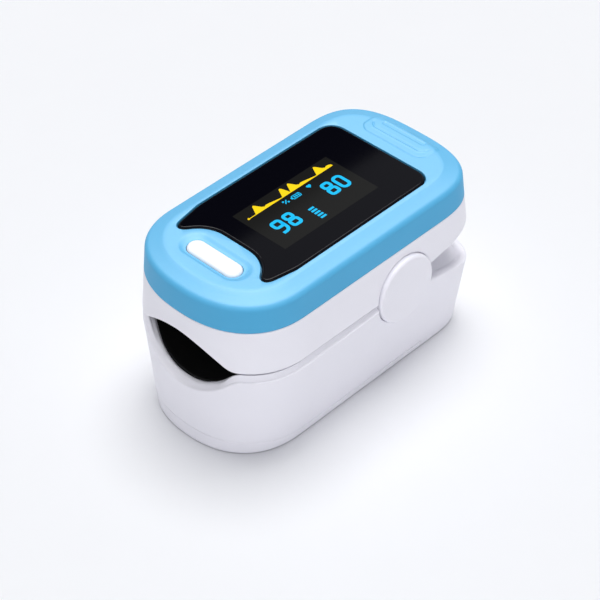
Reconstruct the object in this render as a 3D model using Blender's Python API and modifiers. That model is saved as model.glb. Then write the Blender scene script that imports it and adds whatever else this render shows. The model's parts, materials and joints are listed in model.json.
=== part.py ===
"""Fingertip pulse oximeter: a spring clip of two hinged halves, modelled piece by piece at rest.

Metres, +Z up. The finger goes in from the front, at -Y. The origin is under the middle of the base.
"""

import math

import bmesh
import bpy
from mathutils import Matrix, Vector

MM = 0.001

# Clearances
FIT_GAP = 0.3 * MM
LENS_GAP = 0.2 * MM
BUTTON_GAP = 0.2 * MM
SEAM_GAP = 0.3 * MM
SIDE_PLAY = 0.3 * MM
RUNNING_GAP = 0.3 * MM

# Two battery cells in a row with their springs, which set the case's length
CELL_RADIUS = 5.25 * MM
CELL_LENGTH = 43.6 * MM
CELL_NUB_RADIUS = 1.9 * MM
CELL_NUB = 0.9 * MM
CELL_SPACING = 12.0 * MM
CELL_CLEARANCE = 0.3 * MM
CONTACT_THICKNESS = 0.4 * MM
CONTACT_HEIGHT = 7.0 * MM
CONTACT_WIDTH = 6.4 * MM
BATTERY_SPRING_LENGTH = 3.2 * MM
BATTERY_SPRING_WIRE = 0.5 * MM
BATTERY_SPRING_TURNS = 3
BATTERY_SPRING_BASE = 3.3 * MM
BATTERY_SPRING_TIP = 2.1 * MM
FRONT_ROOM = 4.7 * MM
REAR_ROOM = 4.4 * MM

# Plan of the case where the cover meets the upper shell
COVER_HALF_WIDTH = 16.0 * MM
COVER_FRONT = 29.1 * MM
CELL_SLOT = CELL_LENGTH + CELL_NUB + 2 * FIT_GAP + BATTERY_SPRING_LENGTH + FIT_GAP
BAY_FRONT_Y = FRONT_ROOM - COVER_FRONT
BAY_REAR_Y = BAY_FRONT_Y + CONTACT_THICKNESS + CELL_SLOT
COVER_REAR = BAY_REAR_Y + CONTACT_THICKNESS + REAR_ROOM
NOSE_LENGTH = 13.5 * MM
NOSE_POWER = 2.3
TAIL_LENGTH = 13.0 * MM
TAIL_POWER = 3.0
END_STEPS = 16

# Heights and drafts of the case
LOWER_RIM_Z = 18.1 * MM
RIM_CHAMFER = 0.7 * MM
PARTING_GAP = 0.7 * MM
UPPER_HEIGHT = 8.0 * MM
COVER_HEIGHT = 5.95 * MM
UPPER_FLARE = 0.6 * MM
RIM_FLARE = 0.85 * MM
BASE_SIDE_DRAFT = 2.55 * MM
BASE_FRONT_DRAFT = 0.75 * MM
BASE_REAR_DRAFT = 1.6 * MM
BASE_EDGE = 0.5 * MM

LOWER_TOP_Z = LOWER_RIM_Z + RIM_CHAMFER
UPPER_EDGE_Z = LOWER_TOP_Z + PARTING_GAP
UPPER_TOP_Z = UPPER_EDGE_Z + UPPER_HEIGHT
COVER_EDGE_Z = UPPER_TOP_Z + SEAM_GAP
COVER_TOP_Z = COVER_EDGE_Z + COVER_HEIGHT

# Walls
LOWER_WALL = 1.7 * MM
UPPER_WALL = 1.5 * MM
COVER_WALL = 1.3 * MM
COVER_ROOF = 1.7 * MM
FLOOR_THICKNESS = 1.0 * MM

CELL_Z = FLOOR_THICKNESS + CELL_CLEARANCE + CELL_RADIUS
BAY_TOP_Z = CELL_Z + CELL_RADIUS + CELL_CLEARANCE

# Cover: shoulder profile as drop below the plateau and step in from the lower edge
SHOULDER_WIDTH = 3.3 * MM
SHOULDER_DROP = 1.25 * MM
COVER_EDGE_RADIUS = 1.2 * MM
COVER_SIDE_DRAFT = 0.35 * MM
GRIP_RIB_HEIGHT = 0.3 * MM
GRIP_RIB_WIDTH = 0.8 * MM
GRIP_MARGIN = 3.9 * MM
GRIP_PITCH = 2.1 * MM
GRIP_HALF_LENGTH = 5.0 * MM
GRIP_COUNT = 3
GRIP_REAR_Y = COVER_REAR - GRIP_MARGIN

# Hinge
HINGE_Y = 7.7 * MM
HINGE_Z = 19.2 * MM
CAP_RADIUS = 6.5 * MM
CAP_PROUD = 1.0 * MM
CAP_THICKNESS = 1.7 * MM
CAP_EDGE = 0.5 * MM
EAR_RADIUS = 6.1 * MM
EAR_THICKNESS = 1.6 * MM
EAR_WEB_HALF = 4.0 * MM
EAR_WEB_FOOT_Z = 9.0 * MM
KNUCKLE_RADIUS = 3.2 * MM
KNUCKLE_STEP = 0.6 * MM
ARM_FOOT = 3.0 * MM
KNUCKLE_THICKNESS = 1.2 * MM
PIN_RADIUS = 1.2 * MM
PIN_LENGTH = 6.4 * MM

CAP_FACE_X = COVER_HALF_WIDTH + CAP_PROUD
NOTCH_RADIUS = CAP_RADIUS + RUNNING_GAP
EAR_OUTER_X = CAP_FACE_X - CAP_THICKNESS - FIT_GAP
EAR_INNER_X = EAR_OUTER_X - EAR_THICKNESS
KNUCKLE_OUTER_X = EAR_INNER_X - SIDE_PLAY
KNUCKLE_INNER_X = KNUCKLE_OUTER_X - KNUCKLE_THICKNESS
PIN_BORE = PIN_RADIUS + RUNNING_GAP

# Torsion springs of the clip
SPRING_WIRE = 0.6 * MM
SPRING_RADIUS = 2.1 * MM
SPRING_TURNS = 3
SPRING_PITCH = 1.1 * MM
SPRING_LEG_REACH = 6.6 * MM
SPRING_LEG_SPREAD = 1.6 * MM
CURL_POINTS = 8

# Finger channel
CHANNEL_SIDE = 5.8 * MM
TROUGH_FLOOR_Z = 13.2 * MM
TROUGH_DEPTH = 4.4 * MM
VAULT_TOP_Z = 23.5 * MM
PAD_THICKNESS = 0.8 * MM
CRADLE_THICKNESS = 0.8 * MM
FINGER_STOP_Y = 1.5 * MM
STOP_THICKNESS = 1.0 * MM
ARC_STEPS = 14
SCOOP_LIP = 3.3 * MM
SCOOP_FLOOR_Z = 12.8 * MM
ARCH_LIP = 0.5 * MM
ARCH_TOP_Z = 23.8 * MM
MOUTH_REACH = 12.0 * MM

CHANNEL_HALF_WIDTH = COVER_HALF_WIDTH - CHANNEL_SIDE
SCOOP_RADIUS = CHANNEL_HALF_WIDTH + SCOOP_LIP
ARCH_HALF_WIDTH = CHANNEL_HALF_WIDTH + ARCH_LIP
CHANNEL_RADIUS = (CHANNEL_HALF_WIDTH**2 + TROUGH_DEPTH**2) / (2 * TROUGH_DEPTH)
CHANNEL_ANGLE = math.asin(CHANNEL_HALF_WIDTH / CHANNEL_RADIUS)
TROUGH_AXIS_Z = TROUGH_FLOOR_Z + CHANNEL_RADIUS
VAULT_AXIS_Z = VAULT_TOP_Z - CHANNEL_RADIUS
CRADLE_RADIUS = CHANNEL_RADIUS + PAD_THICKNESS + FIT_GAP
FLANGE_X = CRADLE_RADIUS * math.sin(CHANNEL_ANGLE)
LOWER_FLANGE_Z = TROUGH_AXIS_Z - CRADLE_RADIUS * math.cos(CHANNEL_ANGLE)
UPPER_FLANGE_Z = VAULT_AXIS_Z + CRADLE_RADIUS * math.cos(CHANNEL_ANGLE)

# Rear squeeze grip: undersides as height at two stations and the level at the end
REAR_LEAD = 5.0 * MM
REAR_RUN = 6.5 * MM
REAR_DECK_LAP = 1.7 * MM
TRAY_LEAD_RISE = 1.0 * MM
GRIP_LEAD_DROP = 0.8 * MM
TRAY_NEAR_Z = 16.7 * MM
TRAY_FAR_Z = 15.4 * MM
TRAY_END_Z = 15.1 * MM
TRAY_RIM = 1.5 * MM
TRAY_DISH = 0.7 * MM
TRAY_FLOOR = 1.5 * MM
GRIP_NEAR_Z = 20.7 * MM
GRIP_FAR_Z = 21.6 * MM
GRIP_END_Z = 22.9 * MM
GRIP_FLOOR = 1.3 * MM

REAR_NEAR_Y = HINGE_Y + NOTCH_RADIUS
REAR_FAR_Y = REAR_NEAR_Y + REAR_RUN
REAR_DECK_Y = REAR_NEAR_Y - REAR_DECK_LAP

# Battery door
DOOR_END_Y = 14.3 * MM
DOOR_SEAM_FRONT_Z = 2.4 * MM
DOOR_SEAM_REAR_Z = 1.6 * MM

# Window and screen
WINDOW_SIDE = 4.25 * MM
WINDOW_REAR_ROOM = 10.2 * MM
WINDOW_FRONT_Y = -15.2 * MM
WINDOW_CORNER = 2.0 * MM
WINDOW_THICKNESS = 0.9 * MM
WINDOW_PROUD = 0.1 * MM
ISLAND_STEP = 6.75 * MM
ISLAND_RADIUS = 6.5 * MM
HORN_RADIUS = 1.05 * MM
HORN_INSET = 2.0 * MM
HORN_Y = -18.2 * MM
HORN_START_Y = -13.0 * MM
PANEL_WIDTH = 19.3 * MM
PANEL_LENGTH = 26.7 * MM
PANEL_THICKNESS = 1.4 * MM
HOLDER_THICKNESS = 1.0 * MM
HOLDER_RIM = 0.7 * MM

WINDOW_HALF_WIDTH = COVER_HALF_WIDTH - WINDOW_SIDE
WINDOW_REAR_Y = COVER_REAR - WINDOW_REAR_ROOM
HORN_X = WINDOW_HALF_WIDTH - HORN_INSET
ISLAND_HALF_LENGTH = HORN_X - ISLAND_STEP

# Boards and parts on them
BOARD_THICKNESS = 1.0 * MM
BOARD_INSET = 1.2 * MM
BOARD_REAR_ROOM = 10.9 * MM
CHIP_SIZE = 7.0 * MM
CHIP_THICKNESS = 0.9 * MM
CHIP_ROOM = 5.5 * MM
SMALL_BOARD_THICKNESS = 0.6 * MM
SENSOR_BOARD_WIDTH = 3.6 * MM
SENSOR_BOARD_LENGTH = 10.0 * MM
EMITTER_BOARD_WIDTH = 7.0 * MM
OPTIC_SIZE = 2.8 * MM
OPTIC_HEIGHT = 1.2 * MM
OPTIC_Y = -8.0 * MM
OPTIC_WINDOW = 3.8 * MM
SMALL_EDGE = 0.2 * MM
BOARD_REAR_Y = COVER_REAR - BOARD_REAR_ROOM
CHIP_Y = BOARD_REAR_Y - CHIP_ROOM

# Button and its switch
BUTTON_LENGTH = 12.2 * MM
BUTTON_WIDTH = 4.05 * MM
BUTTON_Y = -20.5 * MM
BUTTON_PROUD = 0.3 * MM
BUTTON_CROWN = 0.35 * MM
BUTTON_FLANGE = 0.8 * MM
BUTTON_FLANGE_THICKNESS = 0.7 * MM
BUTTON_TRAVEL = 0.4 * MM
SWITCH_WIDTH = 6.0 * MM
SWITCH_DEPTH = 3.6 * MM
PLUNGER_RADIUS = 0.8 * MM
PLUNGER_LENGTH = 0.9 * MM
PILL_STEPS = 12

# Screws
SCREW_SHANK = 0.65 * MM
SCREW_HEAD = 1.5 * MM
SCREW_HEAD_HEIGHT = 0.8 * MM
SCREW_LENGTH = 4.0 * MM
BOSS_RADIUS = 1.9 * MM
POST_RADIUS = 1.4 * MM
BOARD_POST_Y = (-12.0 * MM, -1.5 * MM)
CRADLE_SCREW_Y = -8.0 * MM
CASE_SCREW_SIDE = 7.0 * MM
CASE_SCREW_ROOM = 6.9 * MM
CASE_BOSS_HEIGHT = 2.6 * MM
CASE_BOSS_WALL = 0.8 * MM
SCREW_SPARE = 1.0 * MM
SCREW_TIP = 0.4 * MM

SCREW_BORE = SCREW_SHANK + FIT_GAP
SCREW_STEPS = 10
CASE_SCREW_X = COVER_HALF_WIDTH - CASE_SCREW_SIDE
CASE_SCREW_Y = COVER_REAR - CASE_SCREW_ROOM

# Sensor cable
CABLE_WIDTH = 3.0 * MM
CABLE_THICKNESS = 0.25 * MM
CABLE_RISE_Y = 9.8 * MM
CABLE_BEND = 1.6 * MM

# Stack of boards under the cover, from the window down
ROOF_UNDER_Z = COVER_TOP_Z - COVER_ROOF
POCKET_FLOOR_Z = COVER_TOP_Z + WINDOW_PROUD - WINDOW_THICKNESS - FIT_GAP
PANEL_TOP_Z = ROOF_UNDER_Z - FIT_GAP
PANEL_Z = PANEL_TOP_Z - PANEL_THICKNESS
HOLDER_Z = PANEL_Z - FIT_GAP - HOLDER_THICKNESS
BOARD_TOP_Z = HOLDER_Z - FIT_GAP
BOARD_Z = BOARD_TOP_Z - BOARD_THICKNESS
POST_TOP_Z = BOARD_Z - FIT_GAP
SWITCH_Z = BOARD_TOP_Z + FIT_GAP
BUTTON_FLANGE_TOP_Z = ROOF_UNDER_Z - FIT_GAP
BUTTON_BOTTOM_Z = BUTTON_FLANGE_TOP_Z - BUTTON_FLANGE_THICKNESS
BUTTON_TOP_Z = COVER_TOP_Z + BUTTON_PROUD
SWITCH_TOP_Z = BUTTON_BOTTOM_Z - BUTTON_TRAVEL - FIT_GAP

# How far cutters run past what they cut
FAR = 80 * MM
OVERCUT = 2 * MM
SIDES = {"left": -1, "right": 1}

# Pieces with many joined and cut shapes, which the exact solver leaves open in places
MANY_CUTS = {"lower_shell", "lower_cradle", "upper_cradle", "upper_shell", "top_cover"}

for old in list(bpy.data.objects):
    bpy.data.objects.remove(old)

parts = bpy.data.collections.new("fingertip_pulse_oximeter")
cutters = bpy.data.collections.new("cutters")
bpy.context.scene.collection.children.link(parts)
bpy.context.scene.collection.children.link(cutters)


def material(name, colour, roughness, metallic=0.0):
    """A plain Principled material."""
    made = bpy.data.materials.new(name)
    made.use_nodes = True
    shader = made.node_tree.nodes["Principled BSDF"]
    shader.inputs["Base Color"].default_value = (*colour, 1.0)
    shader.inputs["Roughness"].default_value = roughness
    shader.inputs["Metallic"].default_value = metallic
    return made


WHITE_CASE = material("white_case", (0.72, 0.72, 0.79), 0.42)
BLUE_CASE = material("blue_case", (0.20, 0.58, 0.86), 0.4)
WHITE_BUTTON = material("white_button", (0.88, 0.88, 0.9), 0.4)
BLACK_GLASS = material("black_glass", (0.01, 0.01, 0.015), 0.06)
BLACK_SILICONE = material("black_silicone", (0.012, 0.012, 0.013), 0.7)
BLACK_FRAME = material("black_frame", (0.02, 0.02, 0.022), 0.5)
SCREEN_GLASS = material("screen_glass", (0.02, 0.02, 0.022), 0.15)
BOARD_GREEN = material("board_green", (0.02, 0.16, 0.07), 0.45)
BLACK_PLASTIC = material("black_plastic", (0.02, 0.02, 0.02), 0.55)
SPRING_STEEL = material("spring_steel", (0.55, 0.55, 0.56), 0.28, 1.0)
NICKEL = material("nickel", (0.66, 0.64, 0.6), 0.3, 1.0)
CELL_JACKET = material("cell_jacket", (0.09, 0.1, 0.13), 0.35)
CABLE_FILM = material("cable_film", (0.55, 0.24, 0.05), 0.4)
CLEAR_OPTIC = material("clear_optic", (0.35, 0.05, 0.05), 0.12)


def add(name, mesh, finish=None, location=(0, 0, 0)):
    """Puts a mesh in the scene: a part with its finish, or a cutter without one."""
    mesh.name = name
    obj = bpy.data.objects.new(name, mesh)
    obj.location = location
    if finish is None:
        cutters.objects.link(obj)
        obj.hide_render = True
        obj.display_type = "WIRE"
    else:
        parts.objects.link(obj)
        mesh.materials.append(finish)
    return obj


def mesh_of(shape):
    """A mesh from a bmesh, with its faces pointing out."""
    bmesh.ops.recalc_face_normals(shape, faces=shape.faces[:])
    mesh = bpy.data.meshes.new("mesh")
    shape.to_mesh(mesh)
    shape.free()
    mesh.shade_smooth()
    mesh.set_sharp_from_angle(angle=math.radians(32))
    return mesh


def loft(rings):
    """A closed skin through rings of as many points each, from the first ring to the last."""
    shape = bmesh.new()
    rows = [[shape.verts.new(point) for point in ring] for ring in rings]
    count = len(rows[0])
    for low, high in zip(rows, rows[1:]):
        for i in range(count):
            j = (i + 1) % count
            shape.faces.new((low[i], low[j], high[j], high[i]))
    shape.faces.new(reversed(rows[0]))
    shape.faces.new(rows[-1])
    return shape


def trimmed(shape, point, normal):
    """What lies behind a plane, closed on it."""
    geometry = shape.verts[:] + shape.edges[:] + shape.faces[:]
    bmesh.ops.bisect_plane(shape, geom=geometry, plane_co=point, plane_no=normal, clear_outer=True)
    rim = [edge for edge in shape.edges if edge.is_boundary]
    bmesh.ops.holes_fill(shape, edges=rim, sides=0)
    return shape


def box(low, high, edge=0.0):
    """A block between two corners, with its edges broken if edge is given."""
    shape = bmesh.new()
    bmesh.ops.create_cube(shape, size=1.0)
    size = Vector(high) - Vector(low)
    middle = (Vector(high) + Vector(low)) / 2
    place = Matrix.Translation(middle) @ Matrix.Diagonal((*size, 1.0))
    bmesh.ops.transform(shape, matrix=place, verts=shape.verts)
    if edge:
        bmesh.ops.bevel(shape, geom=shape.edges[:], offset=edge, segments=1, profile=0.5, affect="EDGES")
    return shape


def cylinder(radius, start, end, steps=48):
    """A closed cylinder from one point to another."""
    shape = bmesh.new()
    start, end = Vector(start), Vector(end)
    along = end - start
    bmesh.ops.create_cone(
        shape, cap_ends=True, segments=steps, radius1=radius, radius2=radius, depth=along.length
    )
    turn = Vector((0, 0, 1)).rotation_difference(along).to_matrix().to_4x4()
    bmesh.ops.transform(shape, matrix=Matrix.Translation((start + end) / 2) @ turn, verts=shape.verts)
    return shape


def post(radius, x, y, low, high, steps=16):
    """An upright cylinder between two heights."""
    return cylinder(radius, (x, y, low), (x, y, high), steps)


def prism(outline, axis, start, end):
    """A flat outline drawn out along X (outline in Y and Z), Y (in X and Z) or Z (in X and Y)."""
    def place(a, b, along):
        return {"X": (along, a, b), "Y": (a, along, b), "Z": (a, b, along)}[axis]

    return loft([[place(a, b, along) for a, b in outline] for along in (start, end)])


def turned(name, profile, finish, steps, location, axis):
    """A turned piece: a profile of radius and height, from the top down, spun about its own axis."""
    shape = bmesh.new()
    points = [shape.verts.new((radius, 0, height)) for radius, height in profile]
    for a, b in zip(points, points[1:]):
        shape.edges.new((a, b))
    mesh = bpy.data.meshes.new(name)
    shape.to_mesh(mesh)
    shape.free()
    obj = add(name, mesh, finish, location)
    obj.rotation_euler = Vector((0, 0, 1)).rotation_difference(Vector(axis)).to_euler()
    spin = obj.modifiers.new("spin", "SCREW")
    spin.steps = steps
    spin.render_steps = steps
    spin.use_merge_vertices = True
    spin.merge_threshold = 0.00001
    return obj


def boolean(obj, cutter, operation="DIFFERENCE"):
    """A Boolean of one object by another."""
    change = obj.modifiers.new(cutter.name, "BOOLEAN")
    change.operation = operation
    change.object = cutter
    change.solver = "MANIFOLD" if obj.name in MANY_CUTS else "EXACT"


def cut(obj, name, shape):
    """Takes a shape away from an object."""
    boolean(obj, add(name, mesh_of(shape)))


def join(obj, name, shape):
    """Joins a shape to an object."""
    boolean(obj, add(name, mesh_of(shape)), "UNION")


def arc(centre, radius, start, end, steps):
    """Points of an arc in a plane, between two angles in degrees."""
    angles = [math.radians(start + (end - start) * i / steps) for i in range(steps + 1)]
    return [(centre[0] + radius * math.cos(a), centre[1] + radius * math.sin(a)) for a in angles]


def plan(half_width, front, rear, nose=NOSE_LENGTH, tail=TAIL_LENGTH):
    """The case's outline: straight sides between two superellipse ends, front and rear from the origin."""
    def end(length, power, middle, sign):
        points = []
        for i in range(END_STEPS + 1):
            angle = math.pi * i / END_STEPS
            c, s = math.cos(angle), math.sin(angle)
            reach = (abs(c / half_width) ** power + abs(s / length) ** power) ** (-1 / power)
            points.append((sign * reach * c, middle + sign * reach * s))
        return points

    return end(tail, TAIL_POWER, rear - tail, 1) + end(nose, NOSE_POWER, nose - front, -1)


def ring_at(z, half_width, front, rear, inset):
    """The plan at a height, drawn in by an inset all round."""
    nose, tail = NOSE_LENGTH - inset, TAIL_LENGTH - inset
    outline = plan(half_width - inset, front - inset, rear - inset, nose, tail)
    return [(x, y, z) for x, y in outline]


def lower_ring(z, inset=0.0):
    """The lower half's section: it widens from the base to its rim."""
    share = 1 - z / LOWER_RIM_Z
    return ring_at(
        z,
        COVER_HALF_WIDTH + RIM_FLARE - BASE_SIDE_DRAFT * share,
        COVER_FRONT + RIM_FLARE - BASE_FRONT_DRAFT * share,
        COVER_REAR + RIM_FLARE - BASE_REAR_DRAFT * share,
        inset,
    )


def upper_ring(z, inset=0.0):
    """The upper half's section: it narrows from its lower edge to the cover."""
    flare = UPPER_FLARE * (COVER_EDGE_Z - z) / (COVER_EDGE_Z - UPPER_EDGE_Z)
    return ring_at(z, COVER_HALF_WIDTH + flare, COVER_FRONT + flare, COVER_REAR + flare, inset)


def lower_space(inset, low, high):
    """The space inside the lower half, between two heights."""
    return loft([lower_ring(low, inset), lower_ring(high, inset)])


def upper_space(inset, low, high):
    """The space inside the upper half, between two heights."""
    return loft([upper_ring(low, inset), upper_ring(high, inset)])


def tray_line(drop=0.0):
    """The lower half's top behind the hinge, as points of Y and Z, closed above."""
    return [
        (REAR_NEAR_Y - REAR_LEAD, TRAY_NEAR_Z + TRAY_LEAD_RISE - drop),
        (REAR_NEAR_Y, TRAY_NEAR_Z - drop),
        (REAR_FAR_Y, TRAY_FAR_Z - drop),
        (FAR, TRAY_END_Z - drop),
        (FAR, FAR),
        (REAR_NEAR_Y - REAR_LEAD, FAR),
    ]


def grip_line(rise=0.0):
    """The upper half's underside behind the hinge, as points of Y and Z, closed below."""
    far_slope = (GRIP_END_Z - GRIP_FAR_Z) / (COVER_REAR - REAR_FAR_Y)
    return [
        (REAR_NEAR_Y - REAR_LEAD, GRIP_NEAR_Z - GRIP_LEAD_DROP + rise),
        (REAR_NEAR_Y, GRIP_NEAR_Z + rise),
        (REAR_FAR_Y, GRIP_FAR_Z + rise),
        (FAR, GRIP_FAR_Z + far_slope * (FAR - REAR_FAR_Y) + rise),
        (FAR, -FAR),
        (REAR_NEAR_Y - REAR_LEAD, -FAR),
    ]


def hinge_rod(radius, inner, outer, side, steps=48):
    """A cylinder on the hinge axis, between two distances from the middle."""
    return cylinder(
        radius, (side * inner, HINGE_Y, HINGE_Z), (side * outer, HINGE_Y, HINGE_Z), steps
    )


def door_space(gap):
    """Below the battery door's seam and in front of its end, grown by a gap."""
    slope = (DOOR_SEAM_REAR_Z - DOOR_SEAM_FRONT_Z) / (DOOR_END_Y + COVER_FRONT)
    front_z = DOOR_SEAM_FRONT_Z - slope * (FAR - COVER_FRONT)
    outline = [
        (-FAR, -FAR),
        (DOOR_END_Y + gap, -FAR),
        (DOOR_END_Y + gap, DOOR_SEAM_REAR_Z + gap),
        (-FAR, front_z + gap),
    ]
    return prism(outline, "X", -FAR, FAR)


def channel_line(axis_z, radius, sign, flange=None):
    """The finger channel's section in X and Z: an arc, with level flanges out to a distance if given."""
    points = []
    for i in range(ARC_STEPS + 1):
        angle = CHANNEL_ANGLE * (2 * i / ARC_STEPS - 1)
        points.append((radius * math.sin(angle), axis_z - sign * radius * math.cos(angle)))
    if flange:
        points = [(-flange, points[0][1])] + points + [(flange, points[-1][1])]
    return points


def sheet(name, line, start, end, thickness, finish, inward):
    """A section line drawn out along Y and given a thickness, upwards or downwards."""
    shape = bmesh.new()
    points = [shape.verts.new((x, start, z)) for x, z in line]
    edges = [shape.edges.new(pair) for pair in zip(points, points[1:])]
    drawn = bmesh.ops.extrude_edge_only(shape, edges=edges)
    moved = [item for item in drawn["geom"] if isinstance(item, bmesh.types.BMVert)]
    bmesh.ops.translate(shape, verts=moved, vec=(0, end - start, 0))
    for face in shape.faces:
        face.normal_update()
        if face.normal.z < 0:
            face.normal_flip()
    mesh = bpy.data.meshes.new(name)
    shape.to_mesh(mesh)
    shape.free()
    obj = add(name, mesh, finish)
    wall = obj.modifiers.new("wall", "SOLIDIFY")
    wall.thickness = thickness
    wall.offset = inward
    wall.use_even_offset = True
    return obj


def block(name, low, high, finish, edge=0.0):
    """A plain block as a part."""
    return add(name, mesh_of(box(low, high, edge)), finish)


def make_lower_shell():
    """The white lower half: walls round the bay, a dished tray behind, ears for the hinge."""
    rings = [
        lower_ring(0, BASE_EDGE),
        lower_ring(BASE_EDGE),
        lower_ring(LOWER_RIM_Z),
        lower_ring(LOWER_TOP_Z, RIM_CHAMFER + RIM_FLARE * RIM_CHAMFER / LOWER_RIM_Z),
    ]
    shell = add("lower_shell", mesh_of(loft(rings)), WHITE_CASE)
    cut(shell, "tray_top", prism(tray_line(), "X", -FAR, FAR))
    dish = add("tray_dish", mesh_of(prism(tray_line(TRAY_DISH), "X", -FAR, FAR)))
    inside = trimmed(lower_space(TRAY_RIM, 0, LOWER_TOP_Z), (0, REAR_DECK_Y, 0), (0, -1, 0))
    boolean(dish, add("tray_dish_plan", mesh_of(inside)), "INTERSECT")
    boolean(shell, dish)
    front = lower_space(LOWER_WALL, -OVERCUT, LOWER_TOP_Z + OVERCUT)
    cut(shell, "lower_cavity", trimmed(front, (0, REAR_DECK_Y, 0), (0, 1, 0)))
    bay = lower_space(LOWER_WALL + FIT_GAP, FLOOR_THICKNESS, TRAY_END_Z - TRAY_DISH - TRAY_FLOOR)
    cut(shell, "rear_bay", trimmed(bay, (0, REAR_DECK_Y - OVERCUT, 0), (0, -1, 0)))
    cut(shell, "door_opening", door_space(SEAM_GAP))
    seat_x = CELL_SPACING / 2 + CONTACT_WIDTH / 2 + FIT_GAP
    seat_z = CONTACT_HEIGHT / 2 + FIT_GAP
    seat_end = BAY_REAR_Y + CONTACT_THICKNESS + FIT_GAP
    cut(shell, "contact_seat", box((-seat_x, BAY_REAR_Y, CELL_Z - seat_z), (seat_x, seat_end, CELL_Z + seat_z)))
    scoop_z = SCOOP_FLOOR_Z + SCOOP_RADIUS
    scoop_end = MOUTH_REACH - COVER_FRONT
    cut(shell, "scoop", cylinder(SCOOP_RADIUS, (0, -FAR, scoop_z), (0, scoop_end, scoop_z)))
    for name, side in SIDES.items():
        ear = add("ear_" + name, mesh_of(hinge_rod(EAR_RADIUS, EAR_INNER_X, EAR_OUTER_X, side)))
        low = (side * EAR_INNER_X, HINGE_Y - EAR_WEB_HALF, EAR_WEB_FOOT_Z)
        high = (side * EAR_OUTER_X, HINGE_Y + EAR_WEB_HALF, HINGE_Z)
        corners = [sorted(pair) for pair in zip(low, high)]
        join(ear, "ear_web_" + name, box([a for a, b in corners], [b for a, b in corners]))
        trim = add("ear_trim_" + name, mesh_of(lower_space(BASE_EDGE, 0, UPPER_TOP_Z)))
        boolean(ear, trim, "INTERSECT")
        boolean(shell, ear, "UNION")
        cut(shell, "cap_pocket_" + name, hinge_rod(NOTCH_RADIUS, EAR_OUTER_X, FAR, side))
        cut(shell, "ear_bore_" + name, hinge_rod(PIN_BORE, EAR_INNER_X - OVERCUT, FAR, side, 24))
        x = side * cradle_screw_x()
        top = LOWER_FLANGE_Z - CRADLE_THICKNESS - FIT_GAP
        foot = top - SCREW_LENGTH
        join(shell, "cradle_boss_" + name, post(BOSS_RADIUS, x, CRADLE_SCREW_Y, foot, top, 24))
        bore = post(SCREW_BORE, x, CRADLE_SCREW_Y, foot + SCREW_SPARE, FAR)
        cut(shell, "cradle_boss_bore_" + name, bore)


def cradle_screw_x():
    """How far out the lower cradle's screws stand: between the channel and the wall."""
    return FLANGE_X + BOSS_RADIUS + FIT_GAP


def make_battery_door():
    """The bottom cover, a shallow tray that slides off to the front."""
    rings = [
        lower_ring(0, BASE_EDGE),
        lower_ring(BASE_EDGE),
        lower_ring(DOOR_SEAM_FRONT_Z + OVERCUT),
    ]
    door = add("battery_door", mesh_of(loft(rings)), WHITE_CASE)
    boolean(door, add("door_limits", mesh_of(door_space(0.0))), "INTERSECT")
    inside = lower_space(LOWER_WALL, FLOOR_THICKNESS, DOOR_SEAM_FRONT_Z + 2 * OVERCUT)
    cut(door, "door_recess", inside)


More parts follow.
